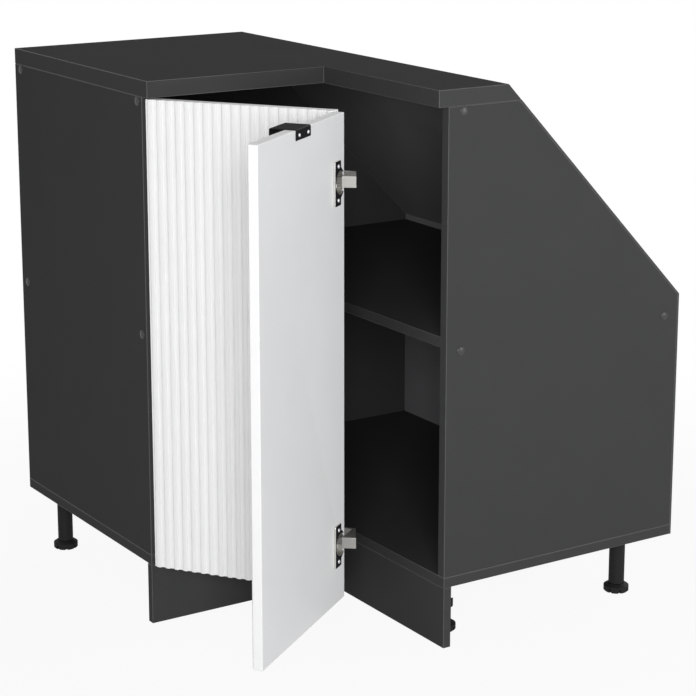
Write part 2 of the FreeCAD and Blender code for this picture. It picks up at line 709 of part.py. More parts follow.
right_leaf = right_leaf.cut(handle_screw_group)

# The leaves and their hardware go to their closed places
left_move = V(LEFT_BACK, LEFT_LEAF_START, 0)
right_move = V(RIGHT_LEAF_START, RIGHT_BACK, 0)


def to_left(shape):
    shape.rotate(home, UP, 90)
    shape.translate(left_move)
    return shape


def to_right(shape):
    shape.translate(right_move)
    return shape


left_leaf = to_left(left_leaf)
left_cups = [to_left(part) for part in left_cups]
left_pins = [to_left(part) for part in left_pins]
left_cup_screws = [to_left(part) for part in left_cup_screws]
right_leaf = to_right(right_leaf)
right_cups = [to_right(part) for part in right_cups]
right_pins = [to_right(part) for part in right_pins]
right_cup_screws = [to_right(part) for part in right_cup_screws]
handle = to_right(handle)
handle_screws = [to_right(part) for part in handle_screws]


# Swing hinges: a mounting plate on the left panel, an arm, and a neck that hooks into the cup
def strip(points, thickness, z0, z1):
    """A bent strip standing on edge, through points in plan."""
    solids = []
    for (ax, ay), (bx, by) in zip(points, points[1:]):
        length = math.hypot(bx - ax, by - ay)
        piece = box(0, length, -thickness / 2, thickness / 2, z0, z1)
        piece.rotate(home, UP, math.degrees(math.atan2(by - ay, bx - ax)))
        piece.translate(V(ax, ay, 0))
        solids.append(piece)
    for x, y in points[1:-1]:
        solids.append(rod(V(x, y, z0), UP, thickness / 2, z1 - z0))
    return solids


arm_inner = BOARD + MOUNT_PLATE
arm_front = FRONT_X - ARM_SETBACK
neck_y = arm_inner + ARM_DEPTH - NECK / 2
neck_depth = CUP_DEPTH - CUP_FLOOR - NECK
neck_bottom = LEFT_BACK + neck_depth
neck_start = (SWING_AXIS.x, SWING_AXIS.y)
neck_points = [
    neck_start,
    (neck_bottom + NECK / 4, SWING_AXIS.y + 4 * EYE_RADIUS),
    (neck_bottom - NECK / 4, neck_y - 2 * NECK),
    (LEFT_BACK + 2 * NECK, neck_y),
    (arm_front - NECK, neck_y),
]
mount_plates = []
swing_arms = []
mount_screws = []
clamp_screws = []
mount_back = FRONT_X - MOUNT_PLATE_SETBACK - MOUNT_PLATE_LENGTH
mount_mid = mount_back + MOUNT_PLATE_LENGTH / 2
for z in HINGE_HEIGHTS:
    mount = box(
        mount_back, mount_back + MOUNT_PLATE_LENGTH, BOARD, arm_inner,
        z - MOUNT_PLATE_HEIGHT / 2, z + MOUNT_PLATE_HEIGHT / 2,
    )
    arm = fuse(
        strip(neck_points, NECK, z - NECK_WIDTH / 2, z + NECK_WIDTH / 2)
        + [
            rod(SWING_AXIS + UP * (z - NECK_WIDTH / 2), UP, EYE_RADIUS, NECK_WIDTH),
            box(
                arm_front - ARM_LENGTH, arm_front, arm_inner, arm_inner + ARM_DEPTH,
                z - ARM_HEIGHT / 2, z + ARM_HEIGHT / 2,
            ),
        ]
    )
    arm = arm.cut(
        rod(
            SWING_AXIS + UP * (z - NECK_WIDTH), UP, HINGE_PIN_RADIUS + HINGE_PIN_CLEARANCE,
            2 * NECK_WIDTH,
        )
    )
    for side in (-1, 1):
        mount_screws.append(
            headed(
                V(mount_mid, arm_inner, z + side * MOUNT_SCREW_SPACING / 2), SOUTH,
                MOUNT_SCREW_HEAD, MOUNT_SCREW_HEAD_RISE, MOUNT_SCREW_RADIUS,
                MOUNT_PLATE + MOUNT_SCREW_BITE,
            )
        )
    clamp = headed(
        V(mount_mid, arm_inner + ARM_DEPTH, z), SOUTH, CLAMP_SCREW_HEAD, CLAMP_SCREW_HEAD_RISE,
        CLAMP_SCREW_RADIUS, ARM_DEPTH + MOUNT_PLATE,
    )
    clamp_screws.append(clamp)
    mount_plates.append(mount.cut(clamp))
    swing_arms.append(arm.cut(clamp))
mount_screw_group = Part.makeCompound(mount_screws)
mount_plates = [part.cut(mount_screw_group) for part in mount_plates]

# Fold hinges: a plate on the back of the left leaf, and an arm round the corner into the cup
fold_plates = []
fold_arms = []
fold_screws = []
fold_clamps = []
leaf_end = LEFT_LEAF_START + LEFT_LEAF_WIDTH
plate_high = leaf_end - FOLD_PLATE_FROM_END
plate_low = plate_high - FOLD_PLATE_LENGTH
plate_mid = (plate_low + plate_high) / 2
fold_face = LEFT_BACK - FOLD_PLATE
arm_out = fold_face - FOLD_ARM
bar_low = RIGHT_BACK + BAR_LIFT
riser_right = FOLD_AXIS.x + RISER / 2
bar_outline = [
    (arm_out, bar_low),
    (riser_right + BAR_NOSE, bar_low),
    (riser_right, bar_low + BAR_DEPTH),
    (arm_out, bar_low + BAR_END),
]
for z in HINGE_HEIGHTS:
    half_neck = NECK_WIDTH / 2
    half_bar = BAR_HEIGHT / 2
    plate = box(
        fold_face, LEFT_BACK, plate_low, plate_high,
        z - FOLD_PLATE_HEIGHT / 2, z + FOLD_PLATE_HEIGHT / 2,
    )
    arm = fuse([
        rod(FOLD_AXIS + UP * (z - half_neck), UP, EYE_RADIUS, NECK_WIDTH),
        box(
            FOLD_AXIS.x - RISER / 2, riser_right, FOLD_AXIS.y, bar_low + RISER,
            z - half_neck, z + half_neck,
        ),
        prism_xy(bar_outline, z - half_bar, z + half_bar),
        box(arm_out, fold_face, plate_low, bar_low + BAR_END, z - half_bar, z + half_bar),
    ])
    arm = arm.cut(
        rod(
            FOLD_AXIS + UP * (z - NECK_WIDTH), UP, HINGE_PIN_RADIUS + HINGE_PIN_CLEARANCE,
            2 * NECK_WIDTH,
        )
    )
    for side in (-1, 1):
        fold_screws.append(
            headed(
                V(fold_face, plate_mid, z + side * FOLD_SCREW_SPACING / 2), EAST, CUP_SCREW_HEAD,
                CUP_SCREW_HEAD_RISE, TRIM_SCREW_RADIUS, FOLD_PLATE + FOLD_SCREW_BITE,
            )
        )
    clamp = headed(
        V(arm_out, plate_mid, z), EAST, CLAMP_SCREW_HEAD, CLAMP_SCREW_HEAD_RISE,
        CLAMP_SCREW_RADIUS, FOLD_ARM + FOLD_PLATE,
    )
    fold_clamps.append(clamp)
    fold_plates.append(plate.cut(clamp))
    fold_arms.append(arm.cut(clamp))
fold_screw_group = Part.makeCompound(fold_screws)
fold_plates = [part.cut(fold_screw_group) for part in fold_plates]
left_leaf = left_leaf.cut(fold_screw_group)

# Holes for the fixings in the boards
left_panel = left_panel.cut(panel_hardware).cut(fixings).cut(mount_screw_group)
right_panel = right_panel.cut(panel_hardware).cut(fixings).cut(nail_group)
wall_panel = wall_panel.cut(panel_hardware).cut(fixings).cut(nail_group)
bottom = bottom.cut(fixings).cut(nail_group).cut(Part.makeCompound(socket_screws))
back_panel = back_panel.cut(nail_group)
sloped_back = sloped_back.cut(nail_group)
left_plinth = left_plinth.cut(trim_group)
right_plinth = right_plinth.cut(trim_group)
corner_plate = corner_plate.cut(trim_group)

carcass_nodes = {
    "left_side_panel": [left_panel],
    "right_side_panel": [right_panel],
    "wall_side_panel": [wall_panel],
    "bottom_panel": [bottom],
    "shelf": [shelf],
    "worktop": [worktop],
    "back_panel": [back_panel],
    "sloped_back_panel": [sloped_back],
    "left_plinth": [left_plinth],
    "right_plinth": [right_plinth],
    "plinth_corner_plate": [corner_plate],
    "plinth_clips": clips,
    "plinth_screws": trim_screws,
    "cover_caps": caps,
    "shelf_pins": pins,
    "worktop_blocks": blocks,
    "worktop_block_bolts": bolts,
    "worktop_screws": block_screws,
    "carcass_screws": screws,
    "carcass_dowels": dowels,
    "back_nails": nails,
    "leg_sockets": sockets,
    "leg_socket_screws": socket_screws,
    "leg_tubes": tubes,
    "swing_hinge_plates": mount_plates,
    "swing_hinge_plate_screws": mount_screws,
    "swing_hinge_arms": swing_arms,
    "swing_hinge_arm_screws": clamp_screws,
}
for name, shape in feet.items():
    carcass_nodes["foot_" + name] = [shape]
door_nodes = {
    "door_leaf_left": [left_leaf],
    "swing_hinge_cups": left_cups,
    "swing_hinge_pins": left_pins,
    "swing_hinge_cup_screws": left_cup_screws,
    "fold_hinge_plates": fold_plates,
    "fold_hinge_plate_screws": fold_screws,
    "fold_hinge_arms": fold_arms,
    "fold_hinge_arm_screws": fold_clamps,
    "door_leaf_right": [right_leaf],
    "fold_hinge_cups": right_cups,
    "fold_hinge_pins": right_pins,
    "fold_hinge_cup_screws": right_cup_screws,
    "door_handle": [handle],
    "door_handle_screws": handle_screws,
}

# The door stands half open, then the whole object moves to its origin
for solids in door_nodes.values():
    for solid in solids:
        solid.rotate(SWING_AXIS, UP, -DOOR_OPEN)
nodes = {name: group(solids) for name, solids in {**carcass_nodes, **door_nodes}.items()}
bounds = Part.makeCompound(list(nodes.values())).BoundBox
middle = V((bounds.XMin + bounds.XMax) / 2, (bounds.YMin + bounds.YMax) / 2, bounds.ZMin)
fold_rest = FreeCAD.Rotation(UP, -DOOR_OPEN).multVec(FOLD_AXIS - SWING_AXIS) + SWING_AXIS
os.makedirs("parts", exist_ok=True)
for name, shape in nodes.items():
    shape.translate(middle * -1)
    shape.exportStep("parts/" + name + ".step")
    if not shape.isValid():
        print("not valid", name)
print("size", round(bounds.XLength, 2), round(bounds.YLength, 2), round(bounds.ZLength, 2))
print("origin in the cabinet", [round(value, 3) for value in middle])
print("swing axis", [round(value, 3) for value in SWING_AXIS - middle])
print("fold axis", [round(value, 3) for value in fold_rest - middle])
print("nodes", len(nodes), "solids", sum(len(shape.Solids) for shape in nodes.values()))
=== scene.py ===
"""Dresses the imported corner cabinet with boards, ribbed fronts, fittings, legs and a studio."""

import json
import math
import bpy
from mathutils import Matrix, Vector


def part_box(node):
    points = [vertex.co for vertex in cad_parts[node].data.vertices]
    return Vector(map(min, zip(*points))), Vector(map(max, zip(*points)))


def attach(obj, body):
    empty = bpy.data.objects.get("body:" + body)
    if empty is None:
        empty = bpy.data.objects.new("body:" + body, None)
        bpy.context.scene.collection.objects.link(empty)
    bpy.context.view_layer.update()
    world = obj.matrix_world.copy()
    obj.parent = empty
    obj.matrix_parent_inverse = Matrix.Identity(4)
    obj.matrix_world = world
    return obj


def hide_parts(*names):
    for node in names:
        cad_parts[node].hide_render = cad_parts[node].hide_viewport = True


bl_info = {
    "name": "Sloped ceiling kitchen cabinet",
    "version": (1, 0, 0),
    "blender": (4, 5, 0),
    "location": "View3D > Sidebar > Cabinet",
    "description": "Dresses the packed corner cabinet and sets up its studio",
    "category": "Object",
}

import bmesh
import bpy
import numpy as np
from mathutils import Matrix, Vector

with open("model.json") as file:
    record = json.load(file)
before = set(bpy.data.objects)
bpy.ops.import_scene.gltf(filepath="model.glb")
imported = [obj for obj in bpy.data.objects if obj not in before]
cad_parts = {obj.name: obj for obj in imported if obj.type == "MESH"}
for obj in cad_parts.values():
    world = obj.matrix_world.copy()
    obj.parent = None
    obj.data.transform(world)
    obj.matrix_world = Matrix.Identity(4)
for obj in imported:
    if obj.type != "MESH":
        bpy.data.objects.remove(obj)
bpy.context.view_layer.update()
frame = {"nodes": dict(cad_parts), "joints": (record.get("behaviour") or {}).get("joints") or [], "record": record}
NODES = frame["nodes"]
JOINTS = {joint["name"]: joint for joint in frame["joints"]}
BODY_OF = {
    node: body
    for body, nodes in frame["record"]["behaviour"]["bodies"].items()
    for node in nodes
}

# Metres: corners that are one, a lift off a seat, a weld after a cut, one level, a unit
SAME = 1e-6
HAIR = 5e-6
WELD = 2e-5
LEVEL = 1e-5
MICRON = 1e-6

# A normal's share along an axis: for a face square to it, and for one that only faces its way
SQUARE_ON = 0.999
FACING = 0.5

# Angles between faces: flat, worth rounding, sharp in the shading, a rim, and square
FLAT = math.radians(0.6)
SHARP = math.radians(28)
CREASE = math.radians(32)
RIM = math.radians(60)
SQUARE = math.radians(75)

# Facets round turned shapes, and steps of arcs
CUP_FACETS = 48
SCREW_FACETS = 20
NAIL_FACETS = 14
CAP_FACETS = 28
PIN_FACETS = 24
DOME_STEPS = 9
ARC_STEPS = 5

# The hinges that each leaf turns on, as their nodes and joints name them
HINGES = {"left": "swing", "right": "fold"}

# How a shape round Z turns into a leaf's back, and how far a pocket's cutter stands out of it
INTO_LEAF = Matrix.Rotation(math.radians(90), 4, "X")
POCKET_OVER = 0.002

# The lamps: the name of a lamp's power, its place, its aim and its size
LAMPS = (
    ("front", (3.5, -2.2, 1.45), (0.1, 0.0, 0.42), 1.3),
    ("left", (1.6, -3.3, 1.2), (0.2, -0.2, 0.42), 1.4),
    ("right", (2.05, 1.1, 0.75), (0.32, 0.1, 0.5), 1.0),
    ("rear", (-1.2, 3.2, 2.4), (0.0, 0.1, 0.5), 1.6),
)

# The floor: half its width, its cells, and how it fades from the shadow into the white
FLOOR_HALF = 14.0
FLOOR_CELLS = 8
FADE = {"From Min": 0.55, "From Max": 1.7, "To Min": 0.93, "To Max": 1.0}
WHITE = (1.0, 1.0, 1.0, 1.0)

# The camera: its sensor in millimetres and how near and far it sees in metres
SENSOR = 36.0
CLIP = (0.05, 60.0)


# Settings that a user would change


def real(name, description, default, **options):
    return bpy.props.FloatProperty(
        name=name, description=description, default=default, **options
    )


def length(name, description, default):
    return real(name, description, default, min=0.0, unit="LENGTH", precision=5)


def count(name, description, default, least):
    return bpy.props.IntProperty(name=name, description=description, default=default, min=least)


def colour(name, description, default):
    return bpy.props.FloatVectorProperty(
        name=name, description=description, default=default, subtype="COLOR", min=0.0, max=1.0
    )


class CabinetFinishes(bpy.types.PropertyGroup):
    """Colours of the cabinet's finishes."""

    board: colour("Board", "Anthracite decor of the boards", (0.049, 0.050, 0.050))
    edge: colour("Edge band", "Band on the narrow edges of the boards", (0.049, 0.050, 0.050))
    # The inside grey of the backs is lighter than the board's own: partly the board, partly painted light for the
    # dim inside
    thin_board: colour("Thin board", "Fibre board of the two backs", (0.180, 0.184, 0.188))
    front: colour("Fronts", "Wrapped white ribbed fronts", (0.86, 0.865, 0.865))
    # A darker copy of the fronts' white: plain melamine backs, darkened further as painted shade
    backing: colour("Backs", "White backs of the ribbed fronts", (0.735, 0.745, 0.75))
    cap: colour("Caps", "Cover caps that match the boards", (0.049, 0.050, 0.050))
    plastic: colour("Plastic", "Legs, clips and blocks", (0.016, 0.016, 0.017))
    coat: colour("Powder coat", "Handle and hinge cups", (0.012, 0.012, 0.013))
    nickel: colour("Nickel", "Hinge arms, plates and pins", (0.70, 0.69, 0.66))
    zinc: colour("Zinc", "Screws and nails", (0.62, 0.63, 0.65))
    beech: colour("Beech", "Dowels", (0.55, 0.36, 0.19))
    floor: colour("Floor", "Plain studio floor", (0.52, 0.52, 0.52))


class CabinetSizes(bpy.types.PropertyGroup):
    """Sizes of the details that the scene adds."""

    board_edge: length("Board edge", "Rounding of the banded board edges", 0.0008)
    thin_edge: length("Thin board edge", "Rounding of the thin back boards", 0.0003)
    plinth_edge: length("Plinth edge", "Rounding of the plinth boards", 0.0007)
    ribs: count("Ribs", "Ribs on each leaf", 20, 1)
    rib_steps: count("Rib steps", "Facets on each rib", 24, 8)
    rib_depth: length("Rib depth", "Height of a rib over its groove", 0.0028)
    rib_slope: length("Rib slope", "Width of the rounded side of a rib", 0.0024)
    leaf_edge: length("Leaf edge", "Rounding of the rims of the leaves", 0.0006)
    pin_from_edge: length("Pin from edge", "Hinge pin from the edge of its leaf", 0.0075)
    pin_depth: length("Pin depth", "Hinge pin from the back of its leaf", 0.0088)
    cup_from_edge: length("Cup from edge", "Hinge cup's middle from the edge of its leaf", 0.0205)
    cup_radius: length("Cup radius", "Outside of a hinge cup", 0.0174)
    cup_depth: length("Cup depth", "Depth of a hinge cup in its leaf", 0.0121)
    cup_wall: length("Cup wall", "Sheet of a hinge cup", 0.0010)
    flange: length("Flange", "Thickness of a hinge cup's flange", 0.0030)
    flange_near: length("Flange near", "Flange from the edge of its leaf", 0.0100)
    flange_corner: length("Flange corner", "Radius of a flange's corners", 0.0024)
    flange_waist: length("Flange waist", "Height of a flange at its hinge edge", 0.0300)
    flange_ear: length("Flange ear", "Width of a flange at its ends", 0.0215)
    flange_ear_drop: length("Flange ear drop", "Straight part of a flange's ears", 0.0100)
    handle_sheet: length("Handle sheet", "Thickness of the handle's sheet", 0.0012)
    handle_lip: length("Handle lip", "Drop of the handle's front lip", 0.0090)
    handle_bend: length("Handle bend", "Outside radius of the handle's bends", 0.0024)
    metal_edge: length("Metal edge", "Rounding of plates and flanges", 0.0005)
    arm_edge: length("Arm edge", "Rounding of the fold hinges' arms", 0.0028)
    plastic_edge: length("Plastic edge", "Rounding of moulded parts", 0.0006)


class CabinetStudio(bpy.types.PropertyGroup):
    """Lights and camera of the studio."""

    front: real("Front", "Lamp behind the camera", 112.0, unit="POWER")
    left: real("Left", "Lamp on the left", 8.0, unit="POWER")
    right: real("Right", "Lamp on the right", 16.0, unit="POWER")
    rear: real("Rear", "Lamp behind the cabinet", 42.0, unit="POWER")
    sky: real("Sky", "Light from all round", 0.26)
    eye: bpy.props.FloatVectorProperty(
        name="Eye", description="Place of the camera", default=(2.777652, -1.772044, 1.273711),
        subtype="TRANSLATION", unit="LENGTH",
    )
    turn: real("Turn", "Camera's turn round the upright", math.radians(57.278), subtype="ANGLE")
    tilt: real("Tilt", "Camera's tilt below level", math.radians(13.186), subtype="ANGLE")
    lens: real("Lens", "Camera's focal length", 111.554, unit="CAMERA")
    rise: real("Rise", "Camera's vertical shift", -0.1)


# Node graphs, for materials and for geometry


def operator(operation, swapped=False):
    """A method that puts a value and another through a maths node."""

    def apply(self, other):
        return self.graph.maths(operation, *((other, self) if swapped else (self, other)))

    return apply


class Value:
    """A node's output that Python's operators work on."""

    def __init__(self, graph, socket):
        self.graph = graph
        self.socket = socket

    __add__ = operator("ADD")
    __radd__ = operator("ADD", swapped=True)
    __sub__ = operator("SUBTRACT")
    __rsub__ = operator("SUBTRACT", swapped=True)
    __mul__ = operator("MULTIPLY")
    __truediv__ = operator("DIVIDE")
    __gt__ = operator("GREATER_THAN")


class Graph:
    """A node tree that is written as expressions."""

    def __init__(self, tree):
        self.tree = tree
        self.place = None
        tree.nodes.clear()

    def add(self, kind, sockets=None, output=0, **settings):
        """Adds a node, sets it up, feeds its sockets and returns one of its outputs."""
        node = self.tree.nodes.new(kind)
        for key, value in settings.items():
            setattr(node, key, value)
        for key, value in (sockets or {}).items():
            socket = self.found(node.inputs, key)
            if isinstance(value, Value):
                self.tree.links.new(value.socket, socket)
            else:
                socket.default_value = value
        return Value(self, self.found(node.outputs, output)) if node.outputs else None

    @staticmethod
    def found(sockets, key):
        """A socket by its identifier, its name or its number."""
        by_id = [socket for socket in sockets if socket.identifier == key]
        return by_id[0] if by_id else sockets[key]

    def maths(self, operation, *values):
        return self.add("ShaderNodeMath", dict(enumerate(values)), operation=operation)

    def noise(self, scale, detail=2.0, rough=0.5, stretch=None):
        """Noise at the object's own places, drawn out where a stretch is given."""
        place = self.place
        if stretch:
            place = self.add("ShaderNodeMapping", {"Vector": place, "Scale": stretch})
        sockets = {"Vector": place, "Scale": scale, "Detail": detail, "Roughness": rough}
        return self.add("ShaderNodeTexNoise", sockets)

    def blend(self, factor, first, second):
        sockets = {"Factor_Float": factor, "A_Color": first, "B_Color": second}
        return self.add(
            "ShaderNodeMix", sockets, "Result_Color", data_type="RGBA", clamp_factor=True
        )

    def bump(self, height, microns, strength):
        sockets = {"Height": height, "Distance": microns * MICRON, "Strength": strength}
        return self.add("ShaderNodeBump", sockets)

    def mix(self, factor, first, second):
        return self.add("ShaderNodeMixShader", {0: factor, 1: first, 2: second})

    def surface(self, tone, base, tones, rough, normal, sheen=0.5, metal=0.0, gloss=1.0):
        """Ends a material; a gloss below one lets a plain matt ground take over from the sheen."""
        tint = self.blend(tone, *(shade(base, factor) for factor in tones))
        shader = self.add("ShaderNodeBsdfPrincipled", {
            "Base Color": tint, "Metallic": metal, "Roughness": rough,
            "Specular IOR Level": sheen, "Normal": normal,
        })
        if gloss < 1.0:
            ground = self.add("ShaderNodeBsdfDiffuse", {"Color": tint, "Normal": normal})
            shader = self.mix(gloss, ground, shader)
        self.add("ShaderNodeOutputMaterial", {"Surface": shader})

    def seen(self):
        """One where the eye, a reflection or a view through glass meets the surroundings."""
        camera, glossy, through = (
            self.add("ShaderNodeLightPath", output="Is " + kind + " Ray")
            for kind in ("Camera", "Glossy", "Transmission")
        )
        return self.maths("MINIMUM", camera + glossy + through, 1.0)


def shade(base, factor):
    """A colour socket's value, lighter or darker by a factor."""
    return tuple(min(1.0, part * factor) for part in base[:3]) + (1.0,)


def new_material(name):
    material = bpy.data.materials.new(name)
    material.use_nodes = True
    graph = Graph(material.node_tree)
    graph.place = graph.add("ShaderNodeTexCoord", output="Object")
    return material, graph


# Finishes


def board_decor(graph, base, rough, gloss):
    """Matt melamine: a fine pearled print with faint clouds."""
    clouds = graph.noise(9.0, 3.0)
    dots = graph.noise(700.0)
    pearl = graph.noise(1500.0, rough=0.6)
    graph.surface(
        clouds * 0.45 + dots * 0.55, base, (0.86, 1.14), dots * 0.12 + (rough - 0.06),
        graph.bump(pearl, 60, 0.5), sheen=0.3, gloss=gloss,
    )


def edge_band(graph, base, rough, gloss):
    """Plastic band on the narrow edges, smoother than the decor, with faint rolled lines."""
    lines = graph.noise(900.0, stretch=(0.02, 0.02, 1.0))
    mottle = graph.noise(60.0)
    graph.surface(
        lines * 0.5 + mottle * 0.5, base, (0.90, 1.10), mottle * 0.10 + (rough - 0.05),
        graph.bump(lines, 30, 0.4), sheen=0.35, gloss=gloss,
    )


def fibre_board(graph, base):
    """Thin hard board: a short matted fibre under the lacquer."""
    fibres = graph.noise(420.0, 4.0, 0.65, (1.0, 1.0, 0.35))
    clouds = graph.noise(14.0)
    graph.surface(
        fibres * 0.6 + clouds * 0.4, base, (0.78, 1.22), fibres * 0.15 + 0.55,
        graph.bump(fibres, 100, 0.5), sheen=0.3, gloss=0.2,
    )


def front_film(graph, base):
    """Satin film over the fronts and their backs: a slight orange peel and an even white."""
    peel = graph.noise(520.0)
    waves = graph.noise(22.0)
    graph.surface(
        waves, base, (0.975, 1.015), peel * 0.08 + waves * 0.06 + 0.36,
        graph.bump(peel, 40, 0.35), sheen=0.4,
    )


def moulded_plastic(graph, base, rough, gloss):
    """Moulded plastic: a spark-eroded grain with faint flow marks."""
    grain = graph.noise(1900.0, rough=0.6)
    flow = graph.noise(70.0, stretch=(1.0, 1.0, 0.2))
    graph.surface(
        flow, base, (0.80, 1.25), grain * 0.16 + (rough - 0.08),
        graph.bump(grain, 80, 0.45), sheen=0.4, gloss=gloss,
    )


def powder_coat(graph, base):
    """Powder coat on sheet metal: a fine even pimple and a dull sheen."""
    pimple = graph.noise(2600.0, rough=0.55)
    patches = graph.noise(160.0)
    graph.surface(
        patches, base, (0.82, 1.20), pimple * 0.14 + 0.34,
        graph.bump(pimple, 70, 0.5), sheen=0.4, gloss=0.15,
    )


def plated_steel(graph, base, rough, streak):
    """Plated steel: drawn streaks, handling marks and a slight tone change."""
    drawn = graph.noise(1400.0, 3.0, stretch=(1.0, 1.0, streak))
    marks = graph.noise(110.0, 3.0)
    graph.surface(
        marks, base, (0.86, 1.06), drawn * 0.14 + marks * 0.10 + (rough - 0.12),
        graph.bump(drawn, 20, 0.4), metal=1.0,
    )


def turned_wood(graph, base):
    """Beech: short dark flecks on a warm ground."""
    flecks = graph.noise(1500.0, 3.0, stretch=(1.0, 0.12, 1.0))
    rings = graph.noise(260.0, stretch=(1.0, 0.05, 1.0))
    graph.surface(
        flecks * 0.4 + rings * 0.6, base, (0.70, 1.20), flecks * 0.15 + 0.50,
        graph.bump(flecks, 80, 0.4),
    )


# A finish's maker, its colour, the colour's factor, and what else the maker asks for
FINISHES = {
    "anthracite decor": (board_decor, "board", 1.0, 0.50, 0.10),
    "anthracite edge band": (edge_band, "edge", 1.0, 0.44, 0.12),
    # The boards' roundings: the band's colour lightened, a painted highlight along every edge
    "anthracite corner": (edge_band, "edge", 1.8, 0.30, 0.6),
    # Inside of the backs: the lightened grey, partly painted light for the dim inside
    "thin board inside": (fibre_board, "thin_board", 1.0),
    "thin board outside": (fibre_board, "thin_board", 0.35),
    "white film": (front_film, "front", 1.0),
    # Backs of the leaves: the darker white, painted shade
    "white backing": (front_film, "backing", 1.0),
    "cap plastic": (moulded_plastic, "cap", 1.0, 0.26, 0.6),
    "black plastic": (moulded_plastic, "plastic", 1.0, 0.46, 0.25),
    "black powder coat": (powder_coat, "coat", 1.0),
    "bright nickel": (plated_steel, "nickel", 1.0, 0.34, 0.15),
    # Nickel darkened to 0.4 on flat faces: painted shade beside the bright roundings; only its roughness is satin
    "satin nickel": (plated_steel, "nickel", 0.4, 0.50, 0.3),
    "zinc plate": (plated_steel, "zinc", 1.0, 0.40, 0.4),
    "beech": (turned_wood, "beech", 1.0),
}


def finish(name):
    """A finish by its name, made at its first use."""
    if name in bpy.data.materials:
        return bpy.data.materials[name]
    maker, part, factor, *rest = FINISHES[name]
    base = shade(getattr(bpy.context.scene.cabinet_finishes, part), factor)
    material, graph = new_material(name)
    maker(graph, base, *rest)
    return material


# Shapes


def editable(mesh, weld=SAME):
    """A mesh as a shape to work on, with corners that are one joined."""
    shape = bmesh.new()
    shape.from_mesh(mesh)
    bmesh.ops.remove_doubles(shape, verts=shape.verts, dist=weld)
    return shape


def merged(name):
    """A node's solids as one shape."""
    return editable(NODES[name].data)


def lifted(name, way):
    """A node's solids moved a hair off their seats, so that only what is sunk in cuts."""
    shape = merged(name)
    bmesh.ops.translate(shape, vec=way.normalized() * HAIR, verts=shape.verts)
    return shape


def solids(name):
    """The corners of each separate solid of a node."""
    shape = merged(name)
    for corner in shape.verts:
        corner.tag = False
    found = []
    for first in shape.verts:
        if first.tag:
            continue
        first.tag = True
        waiting = [first]
        corners = []
        while waiting:
            corner = waiting.pop()
            corners.append(corner.co.copy())
            for edge in corner.link_edges:
                other = edge.other_vert(corner)
                if not other.tag:
                    other.tag = True
                    waiting.append(other)
        found.append(corners)
    shape.free()
    return found


def turned(name):
    """Each turned solid of a node: its wide end's place, its direction inward, and its sizes."""
    near_widest = 0.98
    found = []
    for corners in solids(name):
        points = np.array([tuple(corner) for corner in corners])
        middle = points.mean(axis=0)
        spread, directions = np.linalg.eigh(np.cov((points - middle).T))
        lone = 2 if spread[1] - spread[0] < spread[2] - spread[1] else 0
        axis = directions[:, lone]
        along = (points - middle) @ axis
        out = np.linalg.norm(points - middle - np.outer(along, axis), axis=1)
        wide = along[out > out.max() * near_widest]
        if abs(wide - along.max()).min() < abs(wide - along.min()).min():
            axis, along, wide = -axis, -along, -wide
        start = along.min()
        head = float(out.max())
        rise = float(wide.max() - start)
        shank = float(out[along > along.max() - LEVEL].max())
        tall = float(along.max() - start)
        found.append((Vector(middle + axis * start), Vector(axis), (head, rise, shank, tall)))
    return found


def bevelled(shape, edges, width, segments=2):
    """Rounds some edges of a shape and gives the faces of the rounding."""
    return bmesh.ops.bevel(
        shape, geom=edges, offset=width, segments=segments, profile=0.5, affect="EDGES",
        clamp_overlap=True,
    )["faces"]


def bent(shape, angle):
    """The edges of a shape whose two faces meet at more than an angle."""
    return [
        edge
        for edge in shape.edges
        if len(edge.link_faces) == 2 and edge.calc_face_angle() > angle
    ]


def joined(shapes):
    """Several shapes as one."""
    whole = bmesh.new()
    for shape in shapes:
        mesh = finished_mesh(shape, "part", recalculate=False)
        whole.from_mesh(mesh)
        bpy.data.meshes.remove(mesh)
    return whole


def finished_mesh(shape, name, recalculate=True):
    """A shape as a mesh, with its faces turned outwards."""
    if recalculate:
        bmesh.ops.recalc_face_normals(shape, faces=shape.faces)
    mesh = bpy.data.meshes.new(name)
    shape.to_mesh(mesh)
    shape.free()
    return mesh


def add_object(name, mesh):
    thing = bpy.data.objects.new(name, mesh)
    bpy.context.scene.collection.objects.link(thing)
    return thing


def evaluated(thing, name):
    """What an object's modifiers make of it, as a plain mesh that takes the object's place."""
    graph = bpy.context.evaluated_depsgraph_get()
    graph.update()
    result = bpy.data.meshes.new_from_object(
        thing.evaluated_get(graph), preserve_all_data_layers=True, depsgraph=graph
    )
    mesh = thing.data
    bpy.data.objects.remove(thing)
    bpy.data.meshes.remove(mesh)
    result.name = name
    return result


def shaded(mesh):
    """Smooth over curves, sharp at corners, and flat where a face is large."""
    mesh.polygons.foreach_set("use_smooth", [True] * len(mesh.polygons))
    mesh.set_sharp_from_angle(angle=CREASE)
    name = mesh.name
    thing = add_object(name + "_flat", mesh)
    modifier = thing.modifiers.new("Flat faces", "WEIGHTED_NORMAL")
    modifier.mode = "FACE_AREA"
    modifier.keep_sharp = True
    return evaluated(thing, name)


def cut(mesh, cutters, name):
    """A mesh with some shapes cut out of it."""
    body = add_object(name + "_body", mesh)
    tools = []
    for cutter in cutters:
        tool_mesh = finished_mesh(cutter, name + "_cutter", recalculate=False)
        tools.append(add_object(tool_mesh.name, tool_mesh))
        modifier = body.modifiers.new("Cut", "BOOLEAN")
        modifier.operation = "DIFFERENCE"
        modifier.solver = "EXACT"
        modifier.object = tools[-1]
    result = evaluated(body, name)
    for tool in tools:
        bpy.data.objects.remove(tool)
    shape = editable(result, WELD)
    shape.to_mesh(result)
    shape.free()
    return result


